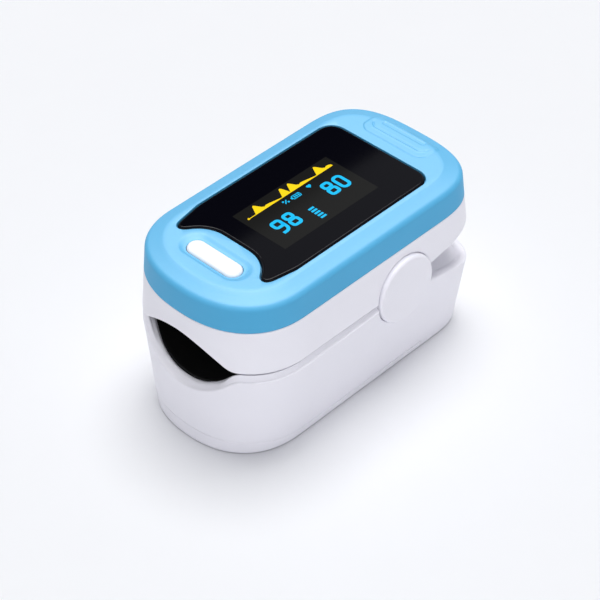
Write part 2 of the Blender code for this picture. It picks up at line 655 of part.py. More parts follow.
def make_finger_parts():
    """The two cradles and the silicone pads that they carry."""
    front = -COVER_FRONT
    below = lower_space(LOWER_WALL + FIT_GAP, 0, UPPER_EDGE_Z + STOP_THICKNESS)
    lower_fit = add("lower_fit", mesh_of(below))
    above = upper_space(UPPER_WALL + FIT_GAP, LOWER_TOP_Z - OVERCUT, UPPER_TOP_Z)
    upper_fit = add("upper_fit", mesh_of(above))
    pad_end = FINGER_STOP_Y - FIT_GAP
    wall_end = FINGER_STOP_Y + STOP_THICKNESS
    window = OPTIC_WINDOW / 2

    pad = sheet(
        "lower_finger_pad", channel_line(TROUGH_AXIS_Z, CHANNEL_RADIUS, 1), front, pad_end,
        PAD_THICKNESS, BLACK_SILICONE, -1,
    )
    boolean(pad, lower_fit, "INTERSECT")
    hole = box((-window, OPTIC_Y - window, 0), (window, OPTIC_Y + window, UPPER_EDGE_Z))
    sensor_hole = add("sensor_hole", mesh_of(hole))
    boolean(pad, sensor_hole)

    line = channel_line(TROUGH_AXIS_Z, CRADLE_RADIUS, 1, COVER_HALF_WIDTH)
    cradle = sheet("lower_cradle", line, front, wall_end, CRADLE_THICKNESS, BLACK_FRAME, -1)
    stop = channel_line(TROUGH_AXIS_Z, CRADLE_RADIUS + CRADLE_THICKNESS / 2, 1)
    join(cradle, "lower_stop", prism(stop, "Y", FINGER_STOP_Y, wall_end))
    screen_low = (-CHANNEL_HALF_WIDTH, FINGER_STOP_Y, LOWER_FLANGE_Z - STOP_THICKNESS)
    screen_high = (CHANNEL_HALF_WIDTH, wall_end, UPPER_FLANGE_Z - RUNNING_GAP)
    join(cradle, "stop_screen", box(screen_low, screen_high))
    floor_x = EAR_INNER_X - FIT_GAP
    floor_z = BAY_TOP_Z + CELL_CLEARANCE
    floor_low = (-floor_x, wall_end - STOP_THICKNESS / 2, floor_z)
    floor_high = (floor_x, REAR_DECK_Y - FIT_GAP, floor_z + CRADLE_THICKNESS)
    join(cradle, "bay_ceiling", box(floor_low, floor_high))
    boolean(cradle, lower_fit, "INTERSECT")
    boolean(cradle, sensor_hole)
    cable_x = CABLE_WIDTH / 2 + FIT_GAP
    cable_low = (-cable_x, CABLE_RISE_Y - CABLE_BEND - FIT_GAP, 0)
    cable_high = (cable_x, CABLE_RISE_Y + CABLE_BEND, LOWER_FLANGE_Z)
    cut(cradle, "cable_slot", box(cable_low, cable_high))

    vault = sheet(
        "upper_finger_pad", channel_line(VAULT_AXIS_Z, CHANNEL_RADIUS, -1), front, pad_end,
        PAD_THICKNESS, BLACK_SILICONE, 1,
    )
    boolean(vault, upper_fit, "INTERSECT")
    hole = box((-window, OPTIC_Y - window, UPPER_EDGE_Z), (window, OPTIC_Y + window, FAR))
    emitter_hole = add("emitter_hole", mesh_of(hole))
    boolean(vault, emitter_hole)

    line = channel_line(VAULT_AXIS_Z, CRADLE_RADIUS, -1, COVER_HALF_WIDTH)
    frame = sheet("upper_cradle", line, front, wall_end, CRADLE_THICKNESS, BLACK_FRAME, 1)
    stop = channel_line(VAULT_AXIS_Z, CRADLE_RADIUS + CRADLE_THICKNESS / 2, -1)
    join(frame, "upper_stop", prism(stop, "Y", FINGER_STOP_Y, wall_end))
    boolean(frame, upper_fit, "INTERSECT")
    boolean(frame, emitter_hole)
    for name, side in SIDES.items():
        cut(frame, "ear_room_" + name, hinge_rod(NOTCH_RADIUS, KNUCKLE_OUTER_X, FAR, side))
        knuckle = hinge_rod(KNUCKLE_RADIUS, KNUCKLE_INNER_X, KNUCKLE_OUTER_X, side, 32)
        join(frame, "knuckle_" + name, knuckle)
        ends = sorted((side * KNUCKLE_INNER_X, side * KNUCKLE_OUTER_X))
        arm_low = (ends[0], FINGER_STOP_Y - ARM_FOOT, UPPER_FLANGE_Z + CRADLE_THICKNESS / 2)
        arm_high = (ends[1], HINGE_Y, HINGE_Z + KNUCKLE_RADIUS - KNUCKLE_STEP)
        join(frame, "arm_" + name, box(arm_low, arm_high))
        bore = hinge_rod(PIN_BORE, KNUCKLE_INNER_X - OVERCUT, KNUCKLE_OUTER_X + OVERCUT, side, 24)
        cut(frame, "knuckle_bore_" + name, bore)
        for i, y in enumerate(BOARD_POST_Y):
            x = side * board_post_x()
            foot = UPPER_FLANGE_Z + CRADLE_THICKNESS / 2
            join(frame, f"board_post_{name}_{i}", post(POST_RADIUS, x, y, foot, POST_TOP_Z))
        bore = post(SCREW_BORE, x, BOARD_POST_Y[0], POST_TOP_Z - SCREW_LENGTH, FAR)
        cut(frame, "board_post_bore_" + name, bore)
    for name, side in SIDES.items():
        x = side * cradle_screw_x()
        cut(cradle, "cradle_screw_hole_" + name, post(SCREW_BORE, x, CRADLE_SCREW_Y, 0, FAR))
        ear_room = hinge_rod(EAR_RADIUS + FIT_GAP, EAR_INNER_X - FIT_GAP, FAR, side)
        cut(cradle, "cradle_ear_room_" + name, ear_room)


def board_post_x():
    """How far out the board's posts stand: beside the vault."""
    return FLANGE_X + POST_RADIUS


def make_upper_shell():
    """The white upper half: walls with an arched mouth, round notches and a floor behind the hinge."""
    shell = add("upper_shell", mesh_of(upper_space(0.0, UPPER_EDGE_Z, UPPER_TOP_Z)), WHITE_CASE)
    cut(shell, "grip_underside", prism(grip_line(), "X", -FAR, FAR))
    front = upper_space(UPPER_WALL, UPPER_EDGE_Z - OVERCUT, UPPER_TOP_Z + OVERCUT)
    cut(shell, "upper_cavity", trimmed(front, (0, REAR_DECK_Y, 0), (0, 1, 0)))
    rear = upper_space(UPPER_WALL, UPPER_EDGE_Z - OVERCUT, UPPER_TOP_Z + OVERCUT)
    rear = trimmed(rear, (0, REAR_DECK_Y - OVERCUT, 0), (0, -1, 0))
    rear_cavity = add("grip_cavity", mesh_of(rear))
    boolean(rear_cavity, add("grip_floor", mesh_of(prism(grip_line(GRIP_FLOOR), "X", -FAR, FAR))))
    boolean(shell, rear_cavity)
    rise = ARCH_TOP_Z - UPPER_EDGE_Z
    radius = (ARCH_HALF_WIDTH**2 + rise**2) / (2 * rise)
    arch_z = ARCH_TOP_Z - radius
    arch_end = MOUTH_REACH - COVER_FRONT
    cut(shell, "mouth_arch", cylinder(radius, (0, -FAR, arch_z), (0, arch_end, arch_z)))
    for name, side in SIDES.items():
        cut(shell, "cap_notch_" + name, hinge_rod(NOTCH_RADIUS, KNUCKLE_OUTER_X, FAR, side))
        x = side * CASE_SCREW_X
        top = case_boss_top_z()
        boss_radius = SCREW_HEAD + 2 * FIT_GAP + CASE_BOSS_WALL
        foot = GRIP_FAR_Z + GRIP_FLOOR / 2
        join(shell, "case_boss_" + name, post(boss_radius, x, CASE_SCREW_Y, foot, top, 24))
        well_low = UPPER_EDGE_Z - OVERCUT
        well = post(SCREW_HEAD + FIT_GAP, x, CASE_SCREW_Y, well_low, top - FLOOR_THICKNESS, 24)
        cut(shell, "case_screw_well_" + name, well)
        hole = post(SCREW_BORE, x, CASE_SCREW_Y, 0, top + OVERCUT)
        cut(shell, "case_screw_hole_" + name, hole)


def case_boss_top_z():
    """Height of the bosses on the grip floor, which the case screws pass through."""
    return GRIP_FAR_Z + GRIP_FLOOR + CASE_BOSS_HEIGHT


def cover_ring(z, inset):
    """The cover's section at a height, drawn in by an inset."""
    return ring_at(z, COVER_HALF_WIDTH, COVER_FRONT, COVER_REAR, inset)


def cover_rings():
    """The cover's outside: a side with a little draft, a rounded edge, a sloped shoulder, a flat top."""
    side_top = COVER_TOP_Z - SHOULDER_DROP
    rings = [cover_ring(COVER_EDGE_Z, 0.0)]
    slope = math.atan2(SHOULDER_DROP, SHOULDER_WIDTH)
    for angle in (0.0, 0.35, 0.7, 1.0):
        turn = angle * (math.pi / 2 - slope)
        inset = COVER_SIDE_DRAFT + COVER_EDGE_RADIUS * (1 - math.cos(turn))
        z = side_top - COVER_EDGE_RADIUS * (1 - math.sin(turn))
        rings.append(cover_ring(z, inset))
    rings.append(cover_ring(COVER_TOP_Z, COVER_SIDE_DRAFT + SHOULDER_WIDTH))
    return rings


def window_outline(grow=0.0):
    """The black window's outline: round corners behind, two horns that reach round the button."""
    half = WINDOW_HALF_WIDTH + grow
    rear = WINDOW_REAR_Y + grow
    corner = WINDOW_CORNER + grow
    island = ISLAND_RADIUS - grow
    island_y = WINDOW_FRONT_Y - ISLAND_RADIUS
    right = arc((half - corner, rear - corner), corner, 90, 0, 6)
    right += [(half, HORN_START_Y)]
    right += arc((HORN_X, HORN_Y), HORN_RADIUS + grow, 0, -150, 7)
    right += arc((ISLAND_HALF_LENGTH, island_y), island, 33, 90, 8)
    left = [(-x, y) for x, y in reversed(right)]
    return right + left


def pill(half_length, radius):
    """A pill outline, long in X, about the origin."""
    straight = half_length - radius
    right = arc((straight, 0), radius, -90, 90, PILL_STEPS)
    return right + [(-x, -y) for x, y in right]


def grip_rib(index):
    """One rib of the rear grip: a bar across the cover whose ends turn to the rear."""
    y = GRIP_REAR_Y - index * GRIP_PITCH
    reach = index * GRIP_PITCH / 2
    half = GRIP_RIB_WIDTH / 2
    low = COVER_TOP_Z - COVER_ROOF / 2
    high = COVER_TOP_Z + GRIP_RIB_HEIGHT
    outer = [(GRIP_HALF_LENGTH, y - half)]
    inner = [(GRIP_HALF_LENGTH, y + half)]
    if reach:
        outer = arc((GRIP_HALF_LENGTH, y + reach), reach + half, -90, 0, 6)
        inner = arc((GRIP_HALF_LENGTH, y + reach), reach - half, -90, 0, 6)
    right = outer + inner[::-1]
    outline = right + [(-x, p) for x, p in inner] + [(-x, p) for x, p in outer[::-1]]
    return prism(outline, "Z", low, high)


def make_top_cover():
    """The blue cover with its window pocket, button hole, screw bosses and grip ribs."""
    cover = add("top_cover", mesh_of(loft(cover_rings())), BLUE_CASE)
    inner_top = COVER_SIDE_DRAFT + SHOULDER_WIDTH
    rings = [
        cover_ring(COVER_EDGE_Z - OVERCUT, COVER_WALL),
        cover_ring(ROOF_UNDER_Z - SHOULDER_DROP, COVER_WALL + COVER_SIDE_DRAFT),
        cover_ring(ROOF_UNDER_Z, inner_top),
    ]
    cut(cover, "cover_cavity", loft(rings))
    cut(cover, "window_pocket", prism(window_outline(LENS_GAP), "Z", POCKET_FLOOR_Z, FAR))
    view = [
        (-PANEL_WIDTH / 2, -PANEL_LENGTH / 2),
        (PANEL_WIDTH / 2, -PANEL_LENGTH / 2),
        (PANEL_WIDTH / 2, PANEL_LENGTH / 2),
        (-PANEL_WIDTH / 2, PANEL_LENGTH / 2),
    ]
    cut(cover, "view_opening", prism(view, "Z", BOARD_Z, FAR))
    rim = pill(BUTTON_LENGTH / 2 + BUTTON_GAP, BUTTON_WIDTH / 2 + BUTTON_GAP)
    cut(cover, "button_hole", prism([(x, y + BUTTON_Y) for x, y in rim], "Z", BOARD_Z, FAR))
    for index in range(GRIP_COUNT):
        join(cover, f"grip_rib_{index}", grip_rib(index))
    for name, side in SIDES.items():
        x = side * CASE_SCREW_X
        foot = case_boss_top_z() + FIT_GAP
        boss = post(BOSS_RADIUS, x, CASE_SCREW_Y, foot, COVER_TOP_Z - COVER_ROOF / 2, 24)
        join(cover, "cover_boss_" + name, boss)
        bore = post(SCREW_BORE, x, CASE_SCREW_Y, 0, foot + SCREW_LENGTH)
        cut(cover, "cover_boss_bore_" + name, bore)


def make_display():
    """The black window, the panel under it and the holder that keeps the panel off the board."""
    low = COVER_TOP_Z + WINDOW_PROUD - WINDOW_THICKNESS
    add("display_window", mesh_of(prism(window_outline(), "Z", low, low + WINDOW_THICKNESS)), BLACK_GLASS)
    half_x, half_y = PANEL_WIDTH / 2, PANEL_LENGTH / 2
    corner = (half_x, half_y, PANEL_TOP_Z)
    block("display_panel", (-half_x, -half_y, PANEL_Z), corner, SCREEN_GLASS, SMALL_EDGE)
    corner = (half_x, half_y, HOLDER_Z + HOLDER_THICKNESS)
    holder = block("display_holder", (-half_x, -half_y, HOLDER_Z), corner, BLACK_PLASTIC)
    inner_x, inner_y = half_x - 2 * HOLDER_RIM, half_y - 2 * HOLDER_RIM
    cut(holder, "holder_opening", box((-inner_x, -inner_y, 0), (inner_x, inner_y, FAR)))


def make_button():
    """The power button, its plunger and the switch that it presses."""
    half, radius = BUTTON_LENGTH / 2, BUTTON_WIDTH / 2
    levels = [
        (BUTTON_BOTTOM_Z, BUTTON_FLANGE),
        (BUTTON_FLANGE_TOP_Z, BUTTON_FLANGE),
        (BUTTON_FLANGE_TOP_Z, 0.0),
        (BUTTON_TOP_Z - BUTTON_CROWN, 0.0),
        (BUTTON_TOP_Z - BUTTON_CROWN * 0.3, -BUTTON_CROWN * 0.3),
        (BUTTON_TOP_Z, -BUTTON_CROWN),
    ]
    rings = [[(x, y, z - BUTTON_TOP_Z) for x, y in pill(half + grow, radius + grow)] for z, grow in levels]
    add("power_button", mesh_of(loft(rings)), WHITE_BUTTON, (0, BUTTON_Y, BUTTON_TOP_Z))
    plunger_top = BUTTON_BOTTOM_Z - FIT_GAP
    profile = [(0, 0), (PLUNGER_RADIUS, 0), (PLUNGER_RADIUS, -PLUNGER_LENGTH), (0, -PLUNGER_LENGTH)]
    turned("switch_plunger", profile, BLACK_PLASTIC, 16, (0, BUTTON_Y, plunger_top), (0, 0, 1))
    body = block(
        "power_switch",
        (-SWITCH_WIDTH / 2, BUTTON_Y - SWITCH_DEPTH / 2, SWITCH_Z),
        (SWITCH_WIDTH / 2, BUTTON_Y + SWITCH_DEPTH / 2, SWITCH_TOP_Z),
        NICKEL,
    )
    well_z = plunger_top - PLUNGER_LENGTH - BUTTON_TRAVEL - FIT_GAP
    well = cylinder(PLUNGER_RADIUS + FIT_GAP, (0, BUTTON_Y, well_z), (0, BUTTON_Y, FAR), 16)
    cut(body, "plunger_well", well)


def make_boards():
    """Main board, chip, and the small boards of the emitter and the photodiode."""
    inset = UPPER_WALL + BOARD_INSET
    outline = trimmed(upper_space(inset, BOARD_Z, BOARD_TOP_Z), (0, BOARD_REAR_Y, 0), (0, 1, 0))
    board = add("main_board", mesh_of(outline), BOARD_GREEN)
    half = CHIP_SIZE / 2
    chip_top = BOARD_Z - FIT_GAP
    low = (-half, CHIP_Y - half, chip_top - CHIP_THICKNESS)
    block("controller_chip", low, (half, CHIP_Y + half, chip_top), BLACK_PLASTIC, SMALL_EDGE)
    for name, side in SIDES.items():
        x = side * board_post_x()
        cut(board, "board_screw_hole_" + name, post(SCREW_BORE, x, BOARD_POST_Y[0], 0, FAR))

    optic = OPTIC_SIZE / 2
    sensor_top = TROUGH_AXIS_Z - CRADLE_RADIUS - CRADLE_THICKNESS - FIT_GAP
    half_x, half_y = SENSOR_BOARD_WIDTH / 2, SENSOR_BOARD_LENGTH / 2
    low = (-half_x, OPTIC_Y - half_y, sensor_top - SMALL_BOARD_THICKNESS)
    block("sensor_board", low, (half_x, OPTIC_Y + half_y, sensor_top), BOARD_GREEN)
    low = (-optic, OPTIC_Y - optic, sensor_top + FIT_GAP)
    high = (optic, OPTIC_Y + optic, sensor_top + FIT_GAP + OPTIC_HEIGHT)
    block("photodiode", low, high, CLEAR_OPTIC, SMALL_EDGE)

    emitter_low = VAULT_AXIS_Z + CRADLE_RADIUS + CRADLE_THICKNESS + FIT_GAP
    half_x = EMITTER_BOARD_WIDTH / 2
    high = (half_x, OPTIC_Y + half_y, emitter_low + SMALL_BOARD_THICKNESS)
    block("emitter_board", (-half_x, OPTIC_Y - half_y, emitter_low), high, BOARD_GREEN)
    low = (-optic, OPTIC_Y - optic, emitter_low - FIT_GAP - OPTIC_HEIGHT)
    high = (optic, OPTIC_Y + optic, emitter_low - FIT_GAP)
    block("emitter_led", low, high, CLEAR_OPTIC, SMALL_EDGE)


def make_batteries():
    """Two cells head to tail, the contact plates and their springs."""
    profile = [
        (0, CELL_LENGTH + CELL_NUB),
        (CELL_NUB_RADIUS, CELL_LENGTH + CELL_NUB),
        (CELL_NUB_RADIUS, CELL_LENGTH),
        (CELL_RADIUS, CELL_LENGTH),
        (CELL_RADIUS, 0),
        (0, 0),
    ]
    x = CELL_SPACING / 2
    plate_front = BAY_FRONT_Y + CONTACT_THICKNESS
    left_base = plate_front + FIT_GAP + BATTERY_SPRING_LENGTH + FIT_GAP
    right_base = BAY_REAR_Y - FIT_GAP - BATTERY_SPRING_LENGTH - FIT_GAP
    turned("battery_cell_left", profile, CELL_JACKET, 20, (-x, left_base, CELL_Z), (0, 1, 0))
    turned("battery_cell_right", profile, CELL_JACKET, 20, (x, right_base, CELL_Z), (0, -1, 0))
    half_z, half_x = CONTACT_HEIGHT / 2, CONTACT_WIDTH / 2
    block(
        "front_contact_bridge",
        (-x - half_x, BAY_FRONT_Y, CELL_Z - half_z), (x + half_x, plate_front, CELL_Z + half_z), NICKEL,
    )
    for name, side in SIDES.items():
        block(
            "rear_contact_" + name,
            (side * x - half_x, BAY_REAR_Y, CELL_Z - half_z),
            (side * x + half_x, BAY_REAR_Y + CONTACT_THICKNESS, CELL_Z + half_z), NICKEL,
        )
    battery_spring("battery_spring_left", (-x, plate_front + FIT_GAP, CELL_Z), 1)
    battery_spring("battery_spring_right", (x, BAY_REAR_Y - FIT_GAP, CELL_Z), -1)


def wire(name, points, diameter, finish):
    """One round wire through points, with closed ends."""
    curve = bpy.data.curves.new(name, "CURVE")
    curve.dimensions = "3D"
    curve.bevel_depth = diameter / 2
    curve.bevel_resolution = 1
    curve.use_fill_caps = True
    spline = curve.splines.new("POLY")
    spline.points.add(len(points) - 1)
    for spot, point in zip(spline.points, points):
        spot.co = (*point, 1.0)
    obj = bpy.data.objects.new(name, curve)
    parts.objects.link(obj)
    curve.materials.append(finish)
    return obj


def least_gap(points, diameter, apart):
    """The least gap between turns of a wire: points at least a number of places apart."""
    spots = [Vector(point) for point in points]
    gaps = [(a - b).length for i, a in enumerate(spots) for b in spots[i + apart:]]
    return min(gaps) - diameter


def battery_spring(name, base, sign):
    """A conical spring on a contact plate, along Y."""
    count = BATTERY_SPRING_TURNS * CURL_POINTS
    points = []
    for i in range(count + 1):
        angle = 2 * math.pi * i / CURL_POINTS
        radius = BATTERY_SPRING_BASE + (BATTERY_SPRING_TIP - BATTERY_SPRING_BASE) * i / count
        rise = BATTERY_SPRING_WIRE / 2 + (BATTERY_SPRING_LENGTH - BATTERY_SPRING_WIRE) * i / count
        x, z = base[0] + radius * math.cos(angle), base[2] + radius * math.sin(angle)
        points.append((x, base[1] + sign * rise, z))
    wire(name, points, BATTERY_SPRING_WIRE, SPRING_STEEL)
    print(name, "least gap mm", round(least_gap(points, BATTERY_SPRING_WIRE, CURL_POINTS - 2) / MM, 2))


def make_hinge():
    """Pins, caps and the wound springs that press the rear ends apart."""
    for name, side in SIDES.items():
        profile = [(0, 0), (PIN_RADIUS, 0), (PIN_RADIUS, -PIN_LENGTH), (0, -PIN_LENGTH)]
        pin_end = (side * EAR_OUTER_X, HINGE_Y, HINGE_Z)
        turned("hinge_pin_" + name, profile, SPRING_STEEL, 24, pin_end, (side, 0, 0))
        inner = CAP_RADIUS - CAP_EDGE
        profile = [
            (0, 0),
            (inner, 0),
            (inner + CAP_EDGE * 0.7, -CAP_EDGE * 0.3),
            (CAP_RADIUS, -CAP_EDGE),
            (CAP_RADIUS, -CAP_THICKNESS),
            (0, -CAP_THICKNESS),
        ]
        cap_face = (side * CAP_FACE_X, HINGE_Y, HINGE_Z)
        turned("hinge_cap_" + name, profile, WHITE_CASE, 40, cap_face, (side, 0, 0))
        clip_spring("torsion_spring_" + name, side)


def clip_spring(name, side):
    """A torsion spring on its pin, with both legs to the rear."""
    start_x = KNUCKLE_INNER_X - FIT_GAP - SPRING_WIRE / 2
    tip_y = HINGE_Y + SPRING_LEG_REACH
    points = [(side * start_x, tip_y, HINGE_Z + SPRING_RADIUS - SPRING_LEG_SPREAD)]
    count = int((SPRING_TURNS + 0.5) * CURL_POINTS)
    for i in range(count + 1):
        angle = math.pi / 2 + 2 * math.pi * i / CURL_POINTS
        x = start_x - SPRING_PITCH * i / CURL_POINTS
        y, z = HINGE_Y + SPRING_RADIUS * math.cos(angle), HINGE_Z + SPRING_RADIUS * math.sin(angle)
        points.append((side * x, y, z))
    points.append((points[-1][0], tip_y, HINGE_Z - SPRING_RADIUS + SPRING_LEG_SPREAD / 2))
    wire(name, points, SPRING_WIRE, SPRING_STEEL)
    print(name, "least gap mm", round(least_gap(points, SPRING_WIRE, CURL_POINTS - 2) / MM, 2))


def screw(name, place, axis):
    """A small pan-head screw whose head rests at a place, with its head towards the axis."""
    profile = [
        (0, SCREW_HEAD_HEIGHT),
        (SCREW_HEAD * 0.8, SCREW_HEAD_HEIGHT),
        (SCREW_HEAD, SCREW_HEAD_HEIGHT * 0.5),
        (SCREW_HEAD, 0),
        (SCREW_SHANK, 0),
        (SCREW_SHANK, SCREW_SPARE - SCREW_LENGTH),
        (0, SCREW_SPARE - SCREW_TIP - SCREW_LENGTH),
    ]
    turned(name, profile, NICKEL, SCREW_STEPS, place, axis)


def make_screws():
    """Screws of the main board, the lower cradle and the rear of the upper case."""
    for name, side in SIDES.items():
        seat = (side * board_post_x(), BOARD_POST_Y[0], BOARD_TOP_Z + FIT_GAP)
        screw("board_screw_" + name, seat, (0, 0, 1))
        seat = (side * cradle_screw_x(), CRADLE_SCREW_Y, LOWER_FLANGE_Z + FIT_GAP)
        screw("cradle_screw_" + name, seat, (0, 0, 1))
        seat_z = case_boss_top_z() - FLOOR_THICKNESS - FIT_GAP
        screw("case_screw_" + name, (side * CASE_SCREW_X, CASE_SCREW_Y, seat_z), (0, 0, -1))


def make_sensor_cable():
    """The flat cable from the sensor board, along between the cells and up to the main board."""
    low = TROUGH_AXIS_Z - CRADLE_RADIUS - CRADLE_THICKNESS - FIT_GAP - SMALL_BOARD_THICKNESS / 2
    start = OPTIC_Y + SENSOR_BOARD_LENGTH / 2 + FIT_GAP
    line = [(start, low)]
    line += [(y, z) for y, z in arc((CABLE_RISE_Y - CABLE_BEND, low + CABLE_BEND), CABLE_BEND, -90, 0, 5)]
    line += [(CABLE_RISE_Y, BOARD_Z - CHIP_THICKNESS - 2 * FIT_GAP)]
    shape = bmesh.new()
    points = [shape.verts.new((-CABLE_WIDTH / 2, y, z)) for y, z in line]
    edges = [shape.edges.new(pair) for pair in zip(points, points[1:])]
    drawn = bmesh.ops.extrude_edge_only(shape, edges=edges)
    moved = [item for item in drawn["geom"] if isinstance(item, bmesh.types.BMVert)]
    bmesh.ops.translate(shape, verts=moved, vec=(CABLE_WIDTH, 0, 0))
    bmesh.ops.recalc_face_normals(shape, faces=shape.faces[:])
    mesh = bpy.data.meshes.new("sensor_cable")
    shape.to_mesh(mesh)
    shape.free()
    cable = add("sensor_cable", mesh, CABLE_FILM)
    film = cable.modifiers.new("film", "SOLIDIFY")
    film.thickness = CABLE_THICKNESS
    film.offset = 0


make_lower_shell()
make_battery_door()
make_finger_parts()
make_upper_shell()
make_top_cover()
make_display()
make_button()
make_boards()
make_batteries()
make_hinge()
make_screws()
make_sensor_cable()
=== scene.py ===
"""Looks of a fingertip pulse oximeter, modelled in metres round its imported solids."""

import json
import logging
import math
from collections.abc import Callable, Iterable, Sequence
from dataclasses import dataclass, field, replace
from enum import Enum

import bmesh
import bpy
from mathutils import Matrix, Vector


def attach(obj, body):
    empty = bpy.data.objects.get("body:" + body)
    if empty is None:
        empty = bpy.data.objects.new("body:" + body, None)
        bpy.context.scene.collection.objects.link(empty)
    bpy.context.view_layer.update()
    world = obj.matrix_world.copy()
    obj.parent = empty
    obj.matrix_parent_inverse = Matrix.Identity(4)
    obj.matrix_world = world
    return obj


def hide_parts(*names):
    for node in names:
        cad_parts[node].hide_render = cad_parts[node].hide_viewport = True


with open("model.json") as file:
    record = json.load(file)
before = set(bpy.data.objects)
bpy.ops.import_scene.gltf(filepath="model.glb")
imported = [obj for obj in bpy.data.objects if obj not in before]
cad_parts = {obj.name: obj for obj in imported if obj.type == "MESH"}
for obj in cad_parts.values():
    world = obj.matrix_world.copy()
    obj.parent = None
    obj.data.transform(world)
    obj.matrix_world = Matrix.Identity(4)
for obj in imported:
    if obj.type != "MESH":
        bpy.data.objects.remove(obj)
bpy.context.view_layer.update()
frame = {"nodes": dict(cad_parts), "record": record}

log = logging.getLogger("oximeter")

MM = 0.001
SHARP_ANGLE = math.radians(38)
WELD = 1e-4
ON_PLANE = 1e-5
AT_END = 1e-3
BROAD_DETAIL = 3.0
FINE_DETAIL = 2.0
WAVE_TURN = 0.314

Colour = tuple[float, float, float]
Point = tuple[float, float, float]
Reach = tuple[float, float, float]
Flat = tuple[float, float]
Loop = list[bmesh.types.BMVert]


class Body(Enum):
    """The moving bodies of the clip."""

    LOWER = "lower_half"
    UPPER = "upper_half"
    BUTTON = "power_button"
    DOOR = "battery_door"


class Zone(Enum):
    """The four runs of the case's outline, in order."""

    REAR = "rear"
    LEFT = "left"
    FRONT = "front"
    RIGHT = "right"


Station = tuple[Zone, float]


class NodeTree:
    """A material's node tree with short ways to add and join nodes."""

    def __init__(self, name: str) -> None:
        """Starts a material with its Principled shader.

        Args:
            name: The material's name.
        """
        self.material = bpy.data.materials.new(name)
        self.material.use_nodes = True
        self.tree = self.material.node_tree
        self.shader = self.tree.nodes["Principled BSDF"]

    def add(self, kind: str, **settings: object) -> bpy.types.Node:
        """Adds a node.

        Args:
            kind: The node's type name.
            settings: Values for its properties.

        Returns:
            The node.
        """
        node = self.tree.nodes.new(kind)
        for key, value in settings.items():
            setattr(node, key, value)
        return node

    def join(self, start: bpy.types.NodeSocket, end: bpy.types.NodeSocket) -> None:
        """Links one socket to another."""
        self.tree.links.new(start, end)

    def noise(self, scale: float, detail: float, stretch: Point = (1.0, 1.0, 1.0)) -> bpy.types.NodeSocket:
        """Adds a noise on Object coordinates.

        Args:
            scale: How many features there are to a metre.
            detail: How fine its smaller layers are.
            stretch: How much it is squeezed along each axis.

        Returns:
            The noise's value socket.
        """
        place = self.add("ShaderNodeTexCoord")
        turn = self.add("ShaderNodeMapping")
        turn.inputs["Scale"].default_value = stretch
        grain = self.add("ShaderNodeTexNoise")
        grain.inputs["Scale"].default_value = scale
        grain.inputs["Detail"].default_value = detail
        self.join(place.outputs["Object"], turn.inputs["Vector"])
        self.join(turn.outputs["Vector"], grain.inputs["Vector"])
        return grain.outputs["Fac"]

    def between(self, value: bpy.types.NodeSocket, low: Colour, high: Colour) -> bpy.types.NodeSocket:
        """Mixes two colours by a value.

        Args:
            value: What picks between them.
            low: The colour at 0.
            high: The colour at 1.

        Returns:
            The mixed colour's socket.
        """
        mix = self.add("ShaderNodeMix", data_type="RGBA")
        mix.inputs["A"].default_value = (*low, 1.0)
        mix.inputs["B"].default_value = (*high, 1.0)
        self.join(value, mix.inputs["Factor"])
        return mix.outputs["Result"]

    def ranged(self, value: bpy.types.NodeSocket, low: float, high: float) -> bpy.types.NodeSocket:
        """Maps a value from 0..1 to a range.

        Args:
            value: The value.
            low: What 0 becomes.
            high: What 1 becomes.

        Returns:
            The mapped value's socket.
        """
        span = self.add("ShaderNodeMapRange")
        span.inputs["To Min"].default_value = low
        span.inputs["To Max"].default_value = high
        self.join(value, span.inputs["Value"])
        return span.outputs["Result"]

    def bump(self, height: bpy.types.NodeSocket, strength: float, depth: float) -> None:
        """Roughens the surface.

        Args:
            height: The value that makes the relief.
            strength: How strong it is.
            depth: How deep it is, in metres.
        """
        relief = self.add("ShaderNodeBump")
        relief.inputs["Strength"].default_value = strength
        relief.inputs["Distance"].default_value = depth
        self.join(height, relief.inputs["Height"])
        self.join(relief.outputs["Normal"], self.shader.inputs["Normal"])

    def fix(self, **values: object) -> None:
        """Sets constants on the shader's own sockets, with underscores for spaces."""
        for key, value in values.items():
            self.shader.inputs[key.replace("_", " ")].default_value = value


def shade(colour: Colour, share: float) -> Colour:
    """A colour made lighter or darker by a share."""
    return tuple(min(1.0, part * (1 + share)) for part in colour)


@dataclass(frozen=True)
class Moulded:
    """A moulded plastic or rubber: faint flow tones, a fine eroded grain and its sheen."""

    name: str
    colour: Colour
    roughness: float
    tone: float = 0.02
    grain: float = 0.12
    grain_scale: float = 4200.0
    specular: float = 0.5
    coat: float = 0.0
    coat_roughness: float = 0.08
    flow_scale: float = 90.0
    spread: float = 0.12
    depth: float = 0.03 * MM

    def build(self) -> bpy.types.Material:
        """Makes the material.

        Returns:
            The material.
        """
        nodes = NodeTree(self.name)
        flow = nodes.noise(self.flow_scale, BROAD_DETAIL)
        fine = nodes.noise(self.grain_scale, FINE_DETAIL)
        tones = nodes.between(flow, shade(self.colour, -self.tone), shade(self.colour, self.tone))
        nodes.join(tones, nodes.shader.inputs["Base Color"])
        dull = min(1.0, self.roughness * (1 + self.spread))
        rough = nodes.ranged(fine, self.roughness * (1 - self.spread), dull)
        nodes.join(rough, nodes.shader.inputs["Roughness"])
        nodes.bump(fine, self.grain, self.depth)
        nodes.fix(Specular_IOR_Level=self.specular, Coat_Weight=self.coat)
        nodes.fix(Coat_Roughness=self.coat_roughness)
        return nodes.material


